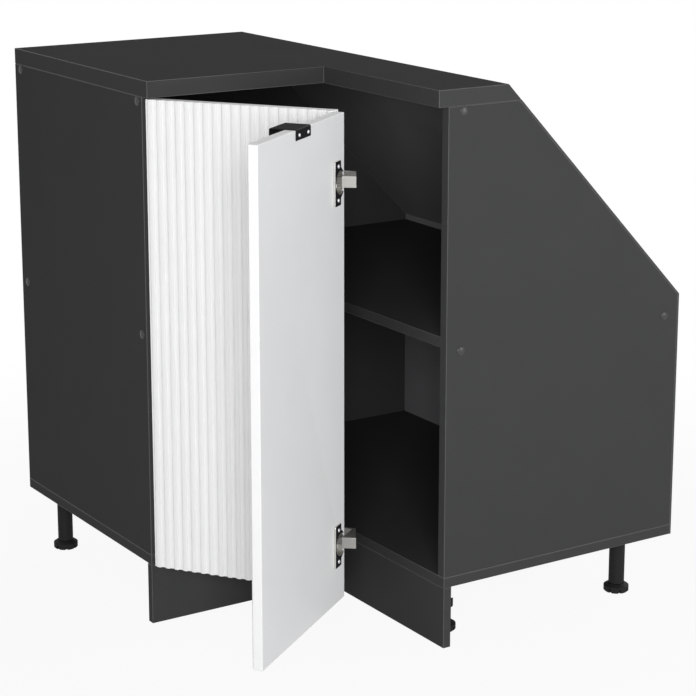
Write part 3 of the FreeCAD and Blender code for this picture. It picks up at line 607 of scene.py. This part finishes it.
def piece(node, ending, mesh, finishes):
    """Makes a mesh the visible piece of a node."""
    mesh = shaded(mesh)
    while len(mesh.materials) < len(finishes):
        mesh.materials.append(None)
    for number, material in enumerate(finishes):
        mesh.materials[number] = finish(material)
    thing = add_object(node + "_" + ending, mesh)
    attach(thing, BODY_OF[node])
    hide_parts(node)


def outline(shape, axis, level):
    """The outer loop of a node's flat face at a level along an axis, corners only."""
    least_bend = 1e-3
    faces = {
        face
        for face in shape.faces
        if abs(face.normal[axis]) > SQUARE_ON
        and abs(face.calc_center_median()[axis] - level) < LEVEL
    }
    rim = {}
    for face in faces:
        for loop in face.loops:
            if sum(other in faces for other in loop.edge.link_faces) == 1:
                rim.setdefault(loop.vert, loop.link_loop_next.vert)
    loops = []
    while rim:
        start, corner = rim.popitem()
        ring = [start]
        while corner in rim:
            ring.append(corner)
            corner = rim.pop(corner)
        loops.append([corner.co.copy() for corner in ring])
    ring = max(loops, key=lambda corners: sum(high - low for low, high in zip(*box_of(corners))))
    corners = []
    for before, here, after in zip(ring[-1:] + ring[:-1], ring, ring[1:] + ring[:1]):
        if (here - before).normalized().cross((after - here).normalized()).length > least_bend:
            corners.append(here)
    first = min(range(len(corners)), key=lambda i: tuple(round(v, 5) for v in corners[i]))
    corners = corners[first:] + corners[:first]
    across, up = (axis + 1) % 3, (axis + 2) % 3
    turn = sum(
        a[across] * b[up] - b[across] * a[up]
        for a, b in zip(corners, corners[1:] + corners[:1])
    )
    return corners if turn > 0 else corners[:1] + corners[:0:-1]


def box_of(corners):
    """Lowest and highest corner of the box round some corners."""
    low = Vector([min(corner[i] for corner in corners) for i in range(3)])
    high = Vector([max(corner[i] for corner in corners) for i in range(3)])
    return low, high


def prism(first, last):
    """A closed shape between two outlines that have as many corners."""
    shape = bmesh.new()
    low, high = ([shape.verts.new(corner) for corner in line] for line in (first, last))
    shape.faces.new(low[::-1])
    shape.faces.new(high)
    for i in range(len(low)):
        j = (i + 1) % len(low)
        shape.faces.new((low[i], low[j], high[j], high[i]))
    return shape


def board_mesh(name, axis, radius, cutters):
    """A board built anew from its node's outline, with rounded edges and its fixings' holes."""
    low, high = (box[axis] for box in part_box(name))
    source = merged(name)
    shape = prism(outline(source, axis, low), outline(source, axis, high))
    source.free()
    corners = bevelled(shape, shape.edges[:], radius)
    bmesh.ops.recalc_face_normals(shape, faces=shape.faces)
    for face in shape.faces:
        face.material_index = 0 if abs(face.normal[axis]) > SQUARE_ON else 1
    # Roundings take the lightened band: a painted highlight along the edges
    for face in corners:
        face.material_index = 2
    mesh = finished_mesh(shape, name, recalculate=False)
    for _ in range(3):
        mesh.materials.append(None)
    return cut(mesh, cutters, name)


def softened(name, width, segments=2):
    """A node's shape with its sharp edges slightly rounded; the roundings are its second part."""
    shape = merged(name)
    bmesh.ops.dissolve_limit(shape, angle_limit=FLAT, verts=shape.verts, edges=shape.edges)
    for face in bevelled(shape, bent(shape, SHARP), width, segments):
        face.material_index = 1
    return finished_mesh(shape, name + "_soft")


def lathe(profile, segments):
    """A turned shape round Z through (radius, height) points, closed at its poles."""
    shape = bmesh.new()
    turns = [2 * math.pi * i / segments for i in range(segments)]
    rings = []
    for radius, height in profile:
        if radius < SAME:
            rings.append([shape.verts.new((0, 0, height))])
        else:
            rings.append([
                shape.verts.new((radius * math.cos(t), radius * math.sin(t), height))
                for t in turns
            ])
    for low, high in zip(rings, rings[1:]):
        for i in range(segments):
            j = (i + 1) % segments
            around = ((low, i), (low, j), (high, j), (high, i))
            corners = list(dict.fromkeys(ring[k % len(ring)] for ring, k in around))
            if len(corners) > 2:
                shape.faces.new(corners)
    return shape


def drum(radius, low, high):
    """A plain drum as wide as a hinge cup's bore, for cutting."""
    return lathe([(0, low), (radius, low), (radius, high), (0, high)], CUP_FACETS)


def rounded(points, radius):
    """An open line of 2D points with its inner corners turned into arcs."""
    line = [Vector(points[0])]
    for before, here, after in zip(points, points[1:], points[2:]):
        a = (Vector(before) - Vector(here)).normalized()
        b = (Vector(after) - Vector(here)).normalized()
        half = a.angle(b) / 2
        reach = radius / math.tan(half)
        middle = Vector(here) + (a + b).normalized() * radius / math.sin(half)
        first = Vector(here) + a * reach - middle
        last = Vector(here) + b * reach - middle
        for i in range(ARC_STEPS + 1):
            part = i / ARC_STEPS
            line.append(middle + (first * (1 - part) + last * part).normalized() * radius)
    line.append(Vector(points[-1]))
    return line


def slab(points, low, high, place):
    """A closed outline drawn out from low to high; place turns (a, b, level) into a point."""
    shape = prism(*([place(a, b, level) for a, b in points] for level in (low, high)))
    bmesh.ops.recalc_face_normals(shape, faces=shape.faces)
    return shape


# Copies of one piece on points, and ribbed leaves, as geometry nodes


def new_tree(name, **sockets):
    """A geometry tree with its graph, the values of its named inputs and their identifiers."""
    tree = bpy.data.node_groups.new(name, "GeometryNodeTree")
    ids = {}
    for label, kind in sockets.items():
        socket = tree.interface.new_socket(label, in_out="INPUT", socket_type="NodeSocket" + kind)
        ids[label] = socket.identifier
    tree.interface.new_socket("Geometry", in_out="OUTPUT", socket_type="NodeSocketGeometry")
    graph = Graph(tree)
    way_in = tree.nodes.new("NodeGroupInput")
    values = {label: Value(graph, way_in.outputs[label]) for label in sockets}
    return tree, graph, values, ids


def close_tree(graph, shape, material):
    shape = graph.add("GeometryNodeRealizeInstances", {"Geometry": shape})
    shape = graph.add("GeometryNodeSetMaterial", {"Geometry": shape, "Material": material})
    graph.add("NodeGroupOutput", {0: shape})


def copies_tree():
    """One piece on each point, its Z along the point's direction, with a seeded turn."""
    tree, graph, values, ids = new_tree(
        "Copies on points", Points="Geometry", Piece="Object", Turn="Float", Seed="Int",
        Finish="Material",
    )
    direction = graph.add(
        "GeometryNodeInputNamedAttribute", {"Name": "inward"}, "Attribute",
        data_type="FLOAT_VECTOR",
    )
    aimed = graph.add("FunctionNodeAlignRotationToVector", {"Vector": direction}, axis="Z")
    angle = graph.add(
        "FunctionNodeRandomValue",
        {"Min_001": 0.0, "Max_001": values["Turn"], "Seed": values["Seed"]}, "Value_001",
        data_type="FLOAT",
    )
    spin = graph.add("FunctionNodeAxisAngleToRotation", {"Axis": (0.0, 0.0, 1.0), "Angle": angle})
    facing = graph.add(
        "FunctionNodeRotateRotation", {"Rotation": aimed, "Rotate By": spin},
        rotation_space="LOCAL",
    )
    source = graph.add("GeometryNodeObjectInfo", {"Object": values["Piece"]}, "Geometry")
    placed = graph.add(
        "GeometryNodeInstanceOnPoints",
        {"Points": values["Points"], "Instance": source, "Rotation": facing},
    )
    close_tree(graph, placed, values["Finish"])
    return tree, ids


def leaf_tree():
    """A leaf drawn up from its plan: flat ribs with rounded sides, a flat back, square edges."""
    tree, graph, values, ids = new_tree(
        "Ribbed leaf", Width="Float", Thickness="Float", Height="Float", Ribs="Int",
        Depth="Float", Slope="Float", Steps="Int", Finish="Material",
    )
    width, depth, ribs = values["Width"], values["Depth"], values["Ribs"]
    last = ribs * values["Steps"]
    line = graph.add(
        "GeometryNodeMeshLine", {"Count": last + 3, "Offset": (0.0, 0.0, 0.0)}, mode="OFFSET"
    )
    index = graph.add("GeometryNodeInputIndex")
    at_back = index > last + 0.5
    at_end = index > last + 1.5
    pitch = width / ribs
    turn = index / values["Steps"]
    crowding = 0.06
    crowd = graph.maths("SINE", turn * (4 * math.pi)) * crowding
    out = graph.maths("ABSOLUTE", graph.maths("FRACT", turn + crowd + 1) - 0.5)
    lean = values["Slope"] / pitch / 2
    rise = graph.add("ShaderNodeMapRange", {
        "Value": out, "From Min": 0.25 - lean, "From Max": 0.25 + lean,
        "To Min": depth, "To Max": 0.0,
    }, interpolation_type="SMOOTHSTEP")
    x = (turn + crowd) * pitch * (1 - at_back) + (1 - at_end) * width * at_back
    y = (depth - values["Thickness"] - rise) * (1 - at_back)
    spot = graph.add("ShaderNodeCombineXYZ", {"X": x, "Y": y})
    line = graph.add("GeometryNodeSetPosition", {"Geometry": line, "Position": spot})
    plan = graph.add("GeometryNodeMeshToCurve", {"Mesh": line})
    plan = graph.add("GeometryNodeSetSplineCyclic", {"Geometry": plan, "Cyclic": True})
    sole = graph.add("GeometryNodeFillCurve", {"Curve": plan}, mode="NGONS")
    lift = graph.add("ShaderNodeCombineXYZ", {"Z": values["Height"]})
    drawn = graph.add("GeometryNodeExtrudeMesh", {
        "Mesh": sole, "Offset": lift, "Offset Scale": 1.0, "Individual": False,
    }, mode="FACES")
    flipped = graph.add("GeometryNodeFlipFaces", {"Mesh": sole})
    both = tree.nodes.new("GeometryNodeJoinGeometry")
    for part in (drawn, flipped):
        tree.links.new(part.socket, both.inputs[0])
    closed = graph.add("GeometryNodeMergeByDistance", {
        "Geometry": Value(graph, both.outputs[0]), "Distance": SAME,
    })
    close_tree(graph, closed, values["Finish"])
    return tree, ids


def grown(name, base, made, **settings):
    """The plain mesh that a geometry tree makes of a base mesh with some settings."""
    tree, ids = made
    thing = add_object(name + "_base", base)
    modifier = thing.modifiers.new("Nodes", "NODES")
    modifier.node_group = tree
    for label, value in settings.items():
        modifier[ids[label]] = value
    return evaluated(thing, name)


def copies(name, places, source_mesh, material, turn, seed):
    """One mesh of copies of a piece at places with directions."""
    points = bpy.data.meshes.new(name + "_points")
    points.from_pydata([place for place, aim in places], [], [])
    inward = points.attributes.new("inward", "FLOAT_VECTOR", "POINT")
    inward.data.foreach_set("vector", [part for place, aim in places for part in aim])
    source = add_object(name + "_source", source_mesh)
    mesh = grown(
        name, points, copies_tree(), Piece=source, Turn=turn, Seed=seed, Finish=finish(material)
    )
    bpy.data.objects.remove(source)
    return mesh


# Fixings, each from the radius and rise of its head, the radius of its shank and its length


def cross_recess(reach, width, depth):
    """A cross-shaped punch that narrows towards its tip, for a screw's recess."""
    tip, over = 0.62, 0.2
    line = []
    arm = [(reach, width), (width, width), (width, reach)]
    for _ in range(4):
        line += arm
        arm = [(-b, a) for a, b in arm]

    def at(a, b, level):
        narrow = 1.0 if level < 0 else tip
        return (a * narrow, b * narrow, level)

    return slab(line, -depth * over, depth, at)


def screw_mesh(head, rise, shank, tall, flush=False):
    """A screw from its head's top at zero down its threaded shank, with a cross recess."""
    if flush:
        profile = [(0, 0), (head * 0.96, 0), (head, rise * 0.08), (head, rise)]
    else:
        profile = [
            (0, 0), (head * 0.45, rise * 0.02), (head * 0.74, rise * 0.14),
            (head * 0.92, rise * 0.42), (head, rise * 0.78), (head, rise),
        ]
    core = shank * 0.82
    most_turns = 14
    profile.append((shank, rise))
    pitch = max(shank * 0.9, (tall - rise) / most_turns)
    level = rise + pitch
    while level + pitch < tall - shank:
        profile += [(core, level), (shank, level + pitch * 0.5)]
        level += pitch
    profile += [(core, tall - shank), (0, tall)]
    mesh = finished_mesh(lathe(profile, SCREW_FACETS), "screw")
    return cut(mesh, [cross_recess(head * 0.56, head * 0.12, rise * 0.62)], "screw")


def flush_screw_mesh(*size):
    """A screw with a flat head."""
    return screw_mesh(*size, flush=True)


def nail_mesh(head, rise, shank, tall):
    """A nail with a flat chamfered head and a short point."""
    profile = [
        (0, 0), (head * 0.82, 0), (head, rise * 0.35), (head, rise), (shank, rise),
        (shank, tall - shank * 2), (0, tall),
    ]
    return finished_mesh(lathe(profile, NAIL_FACETS), "nail")


def cap_mesh(head, rise, shank, tall):
    """A domed cover cap with a thin rim and a stub that grips its hole."""
    turns = [math.pi / 2 * i / DOME_STEPS for i in range(DOME_STEPS + 1)]
    dome = [(head * math.sin(turn), rise * (1 - math.cos(turn)) * 0.86) for turn in turns]
    stub = tall - rise
    profile = dome + [
        (head, rise), (shank * 0.9, rise), (shank * 0.9, rise + stub * 0.3),
        (shank, rise + stub * 0.6), (shank * 0.8, tall), (0, tall),
    ]
    return finished_mesh(lathe(profile, CAP_FACETS), "cap")


def pin_mesh(head, rise, shank, tall):
    """A shelf pin: a chamfered tip, a waist groove and a ringed shank."""
    profile = [
        (0, 0), (head * 0.86, 0), (head, head * 0.14), (head, rise * 0.70),
        (head * 0.90, rise * 0.74), (head * 0.90, rise * 0.82), (head, rise * 0.86),
        (head, rise), (shank, rise),
    ]
    for ring in range(3):
        level = rise + (tall - rise) * (0.2 + 0.22 * ring)
        profile += [
            (shank, level), (shank * 0.9, level + shank * 0.15), (shank, level + shank * 0.3),
        ]
    profile += [(shank, tall - shank * 0.3), (shank * 0.7, tall), (0, tall)]
    return finished_mesh(lathe(profile, PIN_FACETS), "pin")


def fixing(node, maker, material, turn, seed):
    """Replaces a node of like turned solids with copies of one detailed piece."""
    found = turned(node)
    places = [(place, inward) for place, inward, size in found]
    mesh = copies(node + "_copies", places, maker(*found[0][2]), material, turn, seed)
    piece(node, "detailed", mesh, [material])


# The door's own frames


def leaf_frame(side):
    """Turns a leaf's own frame into the object's: X from its hinge edge, back at Y zero."""
    sizes = bpy.context.scene.cabinet_sizes
    opened = -JOINTS["door_swing"]["range_deg"][0]
    joint = JOINTS["door_" + HINGES[side]]
    turn = math.radians((90 if side == "left" else 0) - opened)
    place = Vector((joint["pos_m"][0], joint["pos_m"][1], 0))
    pin = Vector((sizes.pin_from_edge, -sizes.pin_depth, 0))
    return Matrix.Translation(place) @ Matrix.Rotation(turn, 4, "Z") @ Matrix.Translation(-pin)


def in_leaf(node, side):
    """Lowest and highest corner of a node in its leaf's own frame."""
    back = leaf_frame(side).inverted()
    return box_of([back @ vertex.co for vertex in NODES[node].data.vertices])


def in_cup(shape, height, place=Matrix()):
    """Turns a shape round Z into a hinge cup's place, in its leaf's own frame or another."""
    spot = Matrix.Translation((bpy.context.scene.cabinet_sizes.cup_from_edge, 0, height))
    bmesh.ops.transform(shape, matrix=place @ spot @ INTO_LEAF, verts=shape.verts)
    bmesh.ops.remove_doubles(shape, verts=shape.verts, dist=SAME)
    bmesh.ops.recalc_face_normals(shape, faces=shape.faces)
    return shape


def hinge_heights(node):
    return sorted(sum(corner.z for corner in corners) / len(corners) for corners in solids(node))


# Operators


class CABINET_OT_boards(bpy.types.Operator):
    """Builds the carcass boards, the shelf, the worktop and the plinth with rounded bands"""

    bl_idname = "cabinet.boards"
    bl_label = "Boards"

    def execute(self, context):
        sizes = context.scene.cabinet_sizes
        # The third finish lightens the roundings, a painted highlight
        decor = ["anthracite decor", "anthracite edge band", "anthracite corner"]
        thin = ["thin board inside", "thin board outside", "thin board outside"]
        board, plinth = sizes.board_edge, sizes.plinth_edge
        sides = ["cover_caps", "shelf_pins", "worktop_block_bolts", "carcass_screws"]
        for node, axis, radius, fixings in (
            ("left_side_panel", 1, board, sides + ["carcass_dowels", "swing_hinge_plate_screws"]),
            ("right_side_panel", 0, board, sides + ["back_nails"]),
            ("wall_side_panel", 0, board, sides[1:] + ["carcass_dowels", "back_nails"]),
            ("bottom_panel", 2, board, ["carcass_screws", "back_nails", "leg_socket_screws"]),
            ("shelf", 2, board, []),
            ("worktop", 2, board, ["worktop_screws"]),
            ("left_plinth", 0, plinth, ["plinth_screws"]),
            ("right_plinth", 1, plinth, ["plinth_screws"]),
        ):
            mesh = board_mesh(node, axis, radius, [merged(held) for held in fixings])
            piece(node, "board", mesh, decor)
        for node in ("back_panel", "sloped_back_panel"):
            outer = [face for face in NODES[node].data.polygons if face.normal.y > FACING]
            way = max(outer, key=lambda face: face.area).normal
            mesh = board_mesh(node, 0, sizes.thin_edge, [lifted("back_nails", way)])
            # Inside faces take the lightened grey, partly painted light
            for face in mesh.polygons:
                face.material_index = 0 if face.normal.y < -FACING else 1
            piece(node, "board", mesh, thin)
        return {"FINISHED"}


class CABINET_OT_leaves(bpy.types.Operator):
    """Builds the two ribbed door leaves with the pockets of their hinges"""

    bl_idname = "cabinet.leaves"
    bl_label = "Door leaves"

    def execute(self, context):
        sizes = context.scene.cabinet_sizes
        made = leaf_tree()
        for side, screws in (("left", "fold_hinge_plate_screws"), ("right", "door_handle_screws")):
            node = "door_leaf_" + side
            hinge = HINGES[side] + "_hinge_"
            low, high = in_leaf(node, side)
            size = high - low
            mesh = grown(
                node, bpy.data.meshes.new(node + "_base"), made, Width=size.x, Thickness=size.y,
                Height=size.z, Ribs=sizes.ribs, Depth=sizes.rib_depth, Slope=sizes.rib_slope,
                Steps=sizes.rib_steps, Finish=finish("white film"),
            )
            shape = editable(mesh)
            bmesh.ops.recalc_face_normals(shape, faces=shape.faces)
            bevelled(shape, bent(shape, SQUARE), sizes.leaf_edge)
            # Backs take the darker white: painted shade
            for face in shape.faces:
                face.material_index = 1 if face.normal.y > SQUARE_ON else 0
            place = leaf_frame(side)
            corner = Matrix.Translation((low.x, 0, low.z))
            bmesh.ops.transform(shape, matrix=place @ corner, verts=shape.verts)
            leaf = finished_mesh(shape, node)
            for _ in range(2):
                leaf.materials.append(None)
            cutters = [
                in_cup(drum(sizes.cup_radius, -POCKET_OVER, sizes.cup_depth), height, place)
                for height in hinge_heights(hinge + "pins")
            ]
            cutters += [merged(hinge + "cup_screws"), merged(screws)]
            mesh = cut(leaf, cutters, node)
            piece(node, "ribbed", mesh, ["white film", "white backing"])
        return {"FINISHED"}


class CABINET_OT_hinges(bpy.types.Operator):
    """Builds the hinge cups with their flanges, and rounds the hinge plates and arms"""

    bl_idname = "cabinet.hinges"
    bl_label = "Hinges"

    def flange(self, sizes, far, half, height):
        """A flange with a waist at the hinge edge and two ears, open over its cup."""
        level_face = 0.9
        ear = far - sizes.flange_ear
        straight = half - sizes.flange_ear_drop
        waist = (sizes.flange_near, sizes.flange_waist / 2)
        upper = [(far, half), (ear, half), (ear, straight), waist]
        lower = [(x, -rise) for x, rise in reversed(upper)]
        line = rounded([(far, 0)] + upper + lower + [(far, 0)], sizes.flange_corner)[:-1]
        plate = slab(line, 0.0, sizes.flange, lambda a, b, level: (a, level, height + b))
        bevelled(plate, bent(plate, RIM), sizes.metal_edge)
        reach = 2 * sizes.flange
        hole = in_cup(drum(sizes.cup_radius - sizes.cup_wall / 2, -reach, reach), height)
        mesh = cut(finished_mesh(plate, "flange"), [hole], "flange")
        shape = editable(mesh)
        bpy.data.meshes.remove(mesh)
        for face in shape.faces:
            face.material_index = 0 if abs(face.normal.y) > level_face else 1
        return shape

    def bowl(self, sizes, height):
        """The pressed bowl of a cup."""
        outer, wall, floor = sizes.cup_radius, sizes.cup_wall, sizes.cup_depth
        inner, sole = outer - wall, floor - wall
        bend = 2.5 * wall
        soft = bend * 0.3
        shape = lathe([
            (inner, 0.0), (inner, sole - bend), (inner - soft, sole - soft), (inner - bend, sole),
            (0, sole), (0, floor), (outer - bend, floor), (outer - soft, floor - soft),
            (outer, floor - bend), (outer, 0.0), (inner, 0.0),
        ], CUP_FACETS)
        for face in shape.faces:
            face.material_index = 1
        return in_cup(shape, height)

    def execute(self, context):
        sizes = context.scene.cabinet_sizes
        for side, hinge in HINGES.items():
            cups, pins = hinge + "_hinge_cups", hinge + "_hinge_pins"
            far = in_leaf(cups, side)[1].x
            heights = [corner.z for corner in solids(cups)[0]]
            half = (max(heights) - min(heights)) / 2
            parts = []
            for height in hinge_heights(pins):
                parts += [self.bowl(sizes, height), self.flange(sizes, far, half, height)]
            whole = joined(parts)
            bmesh.ops.transform(whole, matrix=leaf_frame(side), verts=whole.verts)
            mesh = finished_mesh(whole, cups, recalculate=False)
            piece(cups, "pressed", mesh, ["black powder coat", "bright nickel"])
            NODES[pins].material_slots[0].material = finish("bright nickel")
        for node, width in (
            ("swing_hinge_plates", sizes.metal_edge),
            ("swing_hinge_arms", sizes.metal_edge),
            ("fold_hinge_plates", sizes.metal_edge),
            ("fold_hinge_arms", sizes.arm_edge),
        ):
            # Flat faces take the darkened nickel as painted shade, the roundings the bright nickel
            piece(node, "rounded", softened(node, width, 3), ["satin nickel", "bright nickel"])
        return {"FINISHED"}


class CABINET_OT_handle(bpy.types.Operator):
    """Bends the handle's sheet over the top edge of the right leaf"""

    bl_idname = "cabinet.handle"
    bl_label = "Handle"

    def execute(self, context):
        sizes = context.scene.cabinet_sizes
        low, high = in_leaf("door_handle", "right")
        sheet, bend = sizes.handle_sheet, sizes.handle_bend
        lip = high.z - sheet - sizes.handle_lip
        outer, inner = (
            rounded([
                (high.y - inset, low.z), (high.y - inset, high.z - inset),
                (low.y + inset, high.z - inset), (low.y + inset, lip),
            ], bend - inset)
            for inset in (0.0, sheet)
        )
        shape = slab(outer + inner[::-1], low.x, high.x, lambda a, b, level: (level, a, b))
        bevelled(shape, bent(shape, RIM), sheet / 5)
        place = leaf_frame("right")
        bmesh.ops.transform(shape, matrix=place, verts=shape.verts)
        mesh = finished_mesh(shape, "door_handle")
        backwards = place.to_3x3() @ Vector((0, 1, 0))
        mesh = cut(mesh, [lifted("door_handle_screws", backwards)], "door_handle")
        piece("door_handle", "bent", mesh, ["black powder coat"])
        return {"FINISHED"}


class CABINET_OT_legs(bpy.types.Operator):
    """Rounds the moulded legs, feet, plinth clips and worktop blocks"""

    bl_idname = "cabinet.legs"
    bl_label = "Legs"

    def execute(self, context):
        width = context.scene.cabinet_sizes.plastic_edge
        feet = [node for node in NODES if node.startswith("foot_")]
        for node in ["leg_sockets", "leg_tubes", "plinth_clips", "worktop_blocks"] + feet:
            piece(node, "moulded", softened(node, width), ["black plastic", "black plastic"])
        return {"FINISHED"}


class CABINET_OT_fixings(bpy.types.Operator):
    """Sets screws, nails, caps, pins and bolts on their places"""

    bl_idname = "cabinet.fixings"
    bl_label = "Fixings"

    def execute(self, context):
        full = 2 * math.pi
        for seed, node in enumerate((
            "plinth_screws", "worktop_screws", "leg_socket_screws", "swing_hinge_plate_screws",
            "swing_hinge_arm_screws", "swing_hinge_cup_screws", "fold_hinge_plate_screws",
            "fold_hinge_arm_screws", "fold_hinge_cup_screws", "door_handle_screws",
        ), start=1):
            material = "bright nickel" if "arm_screws" in node else "zinc plate"
            fixing(node, screw_mesh, material, full, seed)
        fixing("carcass_screws", flush_screw_mesh, "zinc plate", full, 31)
        fixing("back_nails", nail_mesh, "zinc plate", full, 37)
        fixing("cover_caps", cap_mesh, "cap plastic", 0.0, 41)
        fixing("shelf_pins", pin_mesh, "bright nickel", 0.0, 43)
        NODES["worktop_block_bolts"].material_slots[0].material = finish("bright nickel")
        NODES["carcass_dowels"].material_slots[0].material = finish("beech")
        plate = softened("plinth_corner_plate", context.scene.cabinet_sizes.metal_edge)
        piece("plinth_corner_plate", "rounded", plate, ["bright nickel"])
        return {"FINISHED"}


class CABINET_OT_stage(bpy.types.Operator):
    """Sets up the floor, the soft lamps, the pale surroundings and the camera"""

    bl_idname = "cabinet.stage"
    bl_label = "Studio"

    def lamp(self, name, place, aim, size, power):
        data = bpy.data.lights.new(name, "AREA")
        data.shape = "RECTANGLE"
        data.size = data.size_y = size
        data.energy = power
        thing = add_object(name, data)
        thing.location = place
        thing.rotation_euler = (Vector(aim) - Vector(place)).to_track_quat("-Z", "Y").to_euler()

    def floor(self, colours):
        shape = bmesh.new()
        bmesh.ops.create_grid(
            shape, x_segments=FLOOR_CELLS, y_segments=FLOOR_CELLS, size=FLOOR_HALF
        )
        mesh = finished_mesh(shape, "studio_floor", recalculate=False)
        material, graph = new_material("pale floor")
        dust = graph.noise(3.0)
        tint = graph.blend(dust, shade(colours.floor, 0.99), shade(colours.floor, 1.01))
        matt = graph.add("ShaderNodeBsdfDiffuse", {"Color": tint})
        glow = graph.add("ShaderNodeEmission", {"Color": WHITE, "Strength": 1.0})
        reach = graph.add("ShaderNodeVectorMath", {0: graph.place}, "Value", operation="LENGTH")
        fade = graph.add(
            "ShaderNodeMapRange", {"Value": reach, **FADE}, interpolation_type="SMOOTHSTEP"
        )
        both = graph.mix(graph.seen() * fade, matt, glow)
        graph.add("ShaderNodeOutputMaterial", {"Surface": both})
        mesh.materials.append(material)
        add_object("studio_floor", mesh)

    def surroundings(self, scene, sky):
        world = bpy.data.worlds.new("surroundings")
        world.use_nodes = True
        graph = Graph(world.node_tree)
        soft, white = (
            graph.add("ShaderNodeBackground", {"Color": WHITE, "Strength": strength})
            for strength in (sky, 1.0)
        )
        graph.add("ShaderNodeOutputWorld", {"Surface": graph.mix(graph.seen(), soft, white)})
        scene.world = world
        scene.view_settings.view_transform = "Standard"

    def camera(self, scene, studio):
        data = bpy.data.cameras.new("camera")
        data.sensor_fit = "HORIZONTAL"
        data.sensor_width = SENSOR
        data.lens = studio.lens
        data.shift_y = studio.rise
        data.clip_start, data.clip_end = CLIP
        scene.camera = add_object("camera", data)
        scene.camera.location = studio.eye
        scene.camera.rotation_euler = (math.pi / 2 - studio.tilt, 0.0, studio.turn)

    def execute(self, context):
        scene = context.scene
        studio = scene.cabinet_studio
        self.floor(scene.cabinet_finishes)
        for name, place, aim, size in LAMPS:
            self.lamp(name + "_lamp", place, aim, size, getattr(studio, name))
        self.surroundings(scene, studio.sky)
        self.camera(scene, studio)
        return {"FINISHED"}


class CABINET_PT_build(bpy.types.Panel):
    """Lists the steps that dress the cabinet"""

    bl_idname = "CABINET_PT_build"
    bl_label = "Corner cabinet"
    bl_space_type = "VIEW_3D"
    bl_region_type = "UI"
    bl_category = "Cabinet"

    def draw(self, context):
        for step in STEPS:
            self.layout.operator(step.bl_idname)


STEPS = (
    CABINET_OT_boards,
    CABINET_OT_leaves,
    CABINET_OT_hinges,
    CABINET_OT_handle,
    CABINET_OT_legs,
    CABINET_OT_fixings,
    CABINET_OT_stage,
)
GROUPS = (
    ("cabinet_finishes", CabinetFinishes),
    ("cabinet_sizes", CabinetSizes),
    ("cabinet_studio", CabinetStudio),
)


def register():
    for name, group in GROUPS:
        bpy.utils.register_class(group)
        setattr(bpy.types.Scene, name, bpy.props.PointerProperty(type=group))
    for step in STEPS:
        bpy.utils.register_class(step)
    bpy.utils.register_class(CABINET_PT_build)


def unregister():
    bpy.utils.unregister_class(CABINET_PT_build)
    for step in reversed(STEPS):
        bpy.utils.unregister_class(step)
    for name, group in reversed(GROUPS):
        delattr(bpy.types.Scene, name)
        bpy.utils.unregister_class(group)


def main():
    register()
    bpy.ops.cabinet.boards()
    bpy.ops.cabinet.leaves()
    bpy.ops.cabinet.hinges()
    bpy.ops.cabinet.handle()
    bpy.ops.cabinet.legs()
    bpy.ops.cabinet.fixings()
    bpy.ops.cabinet.stage()


if __name__ == "__main__":
    main()
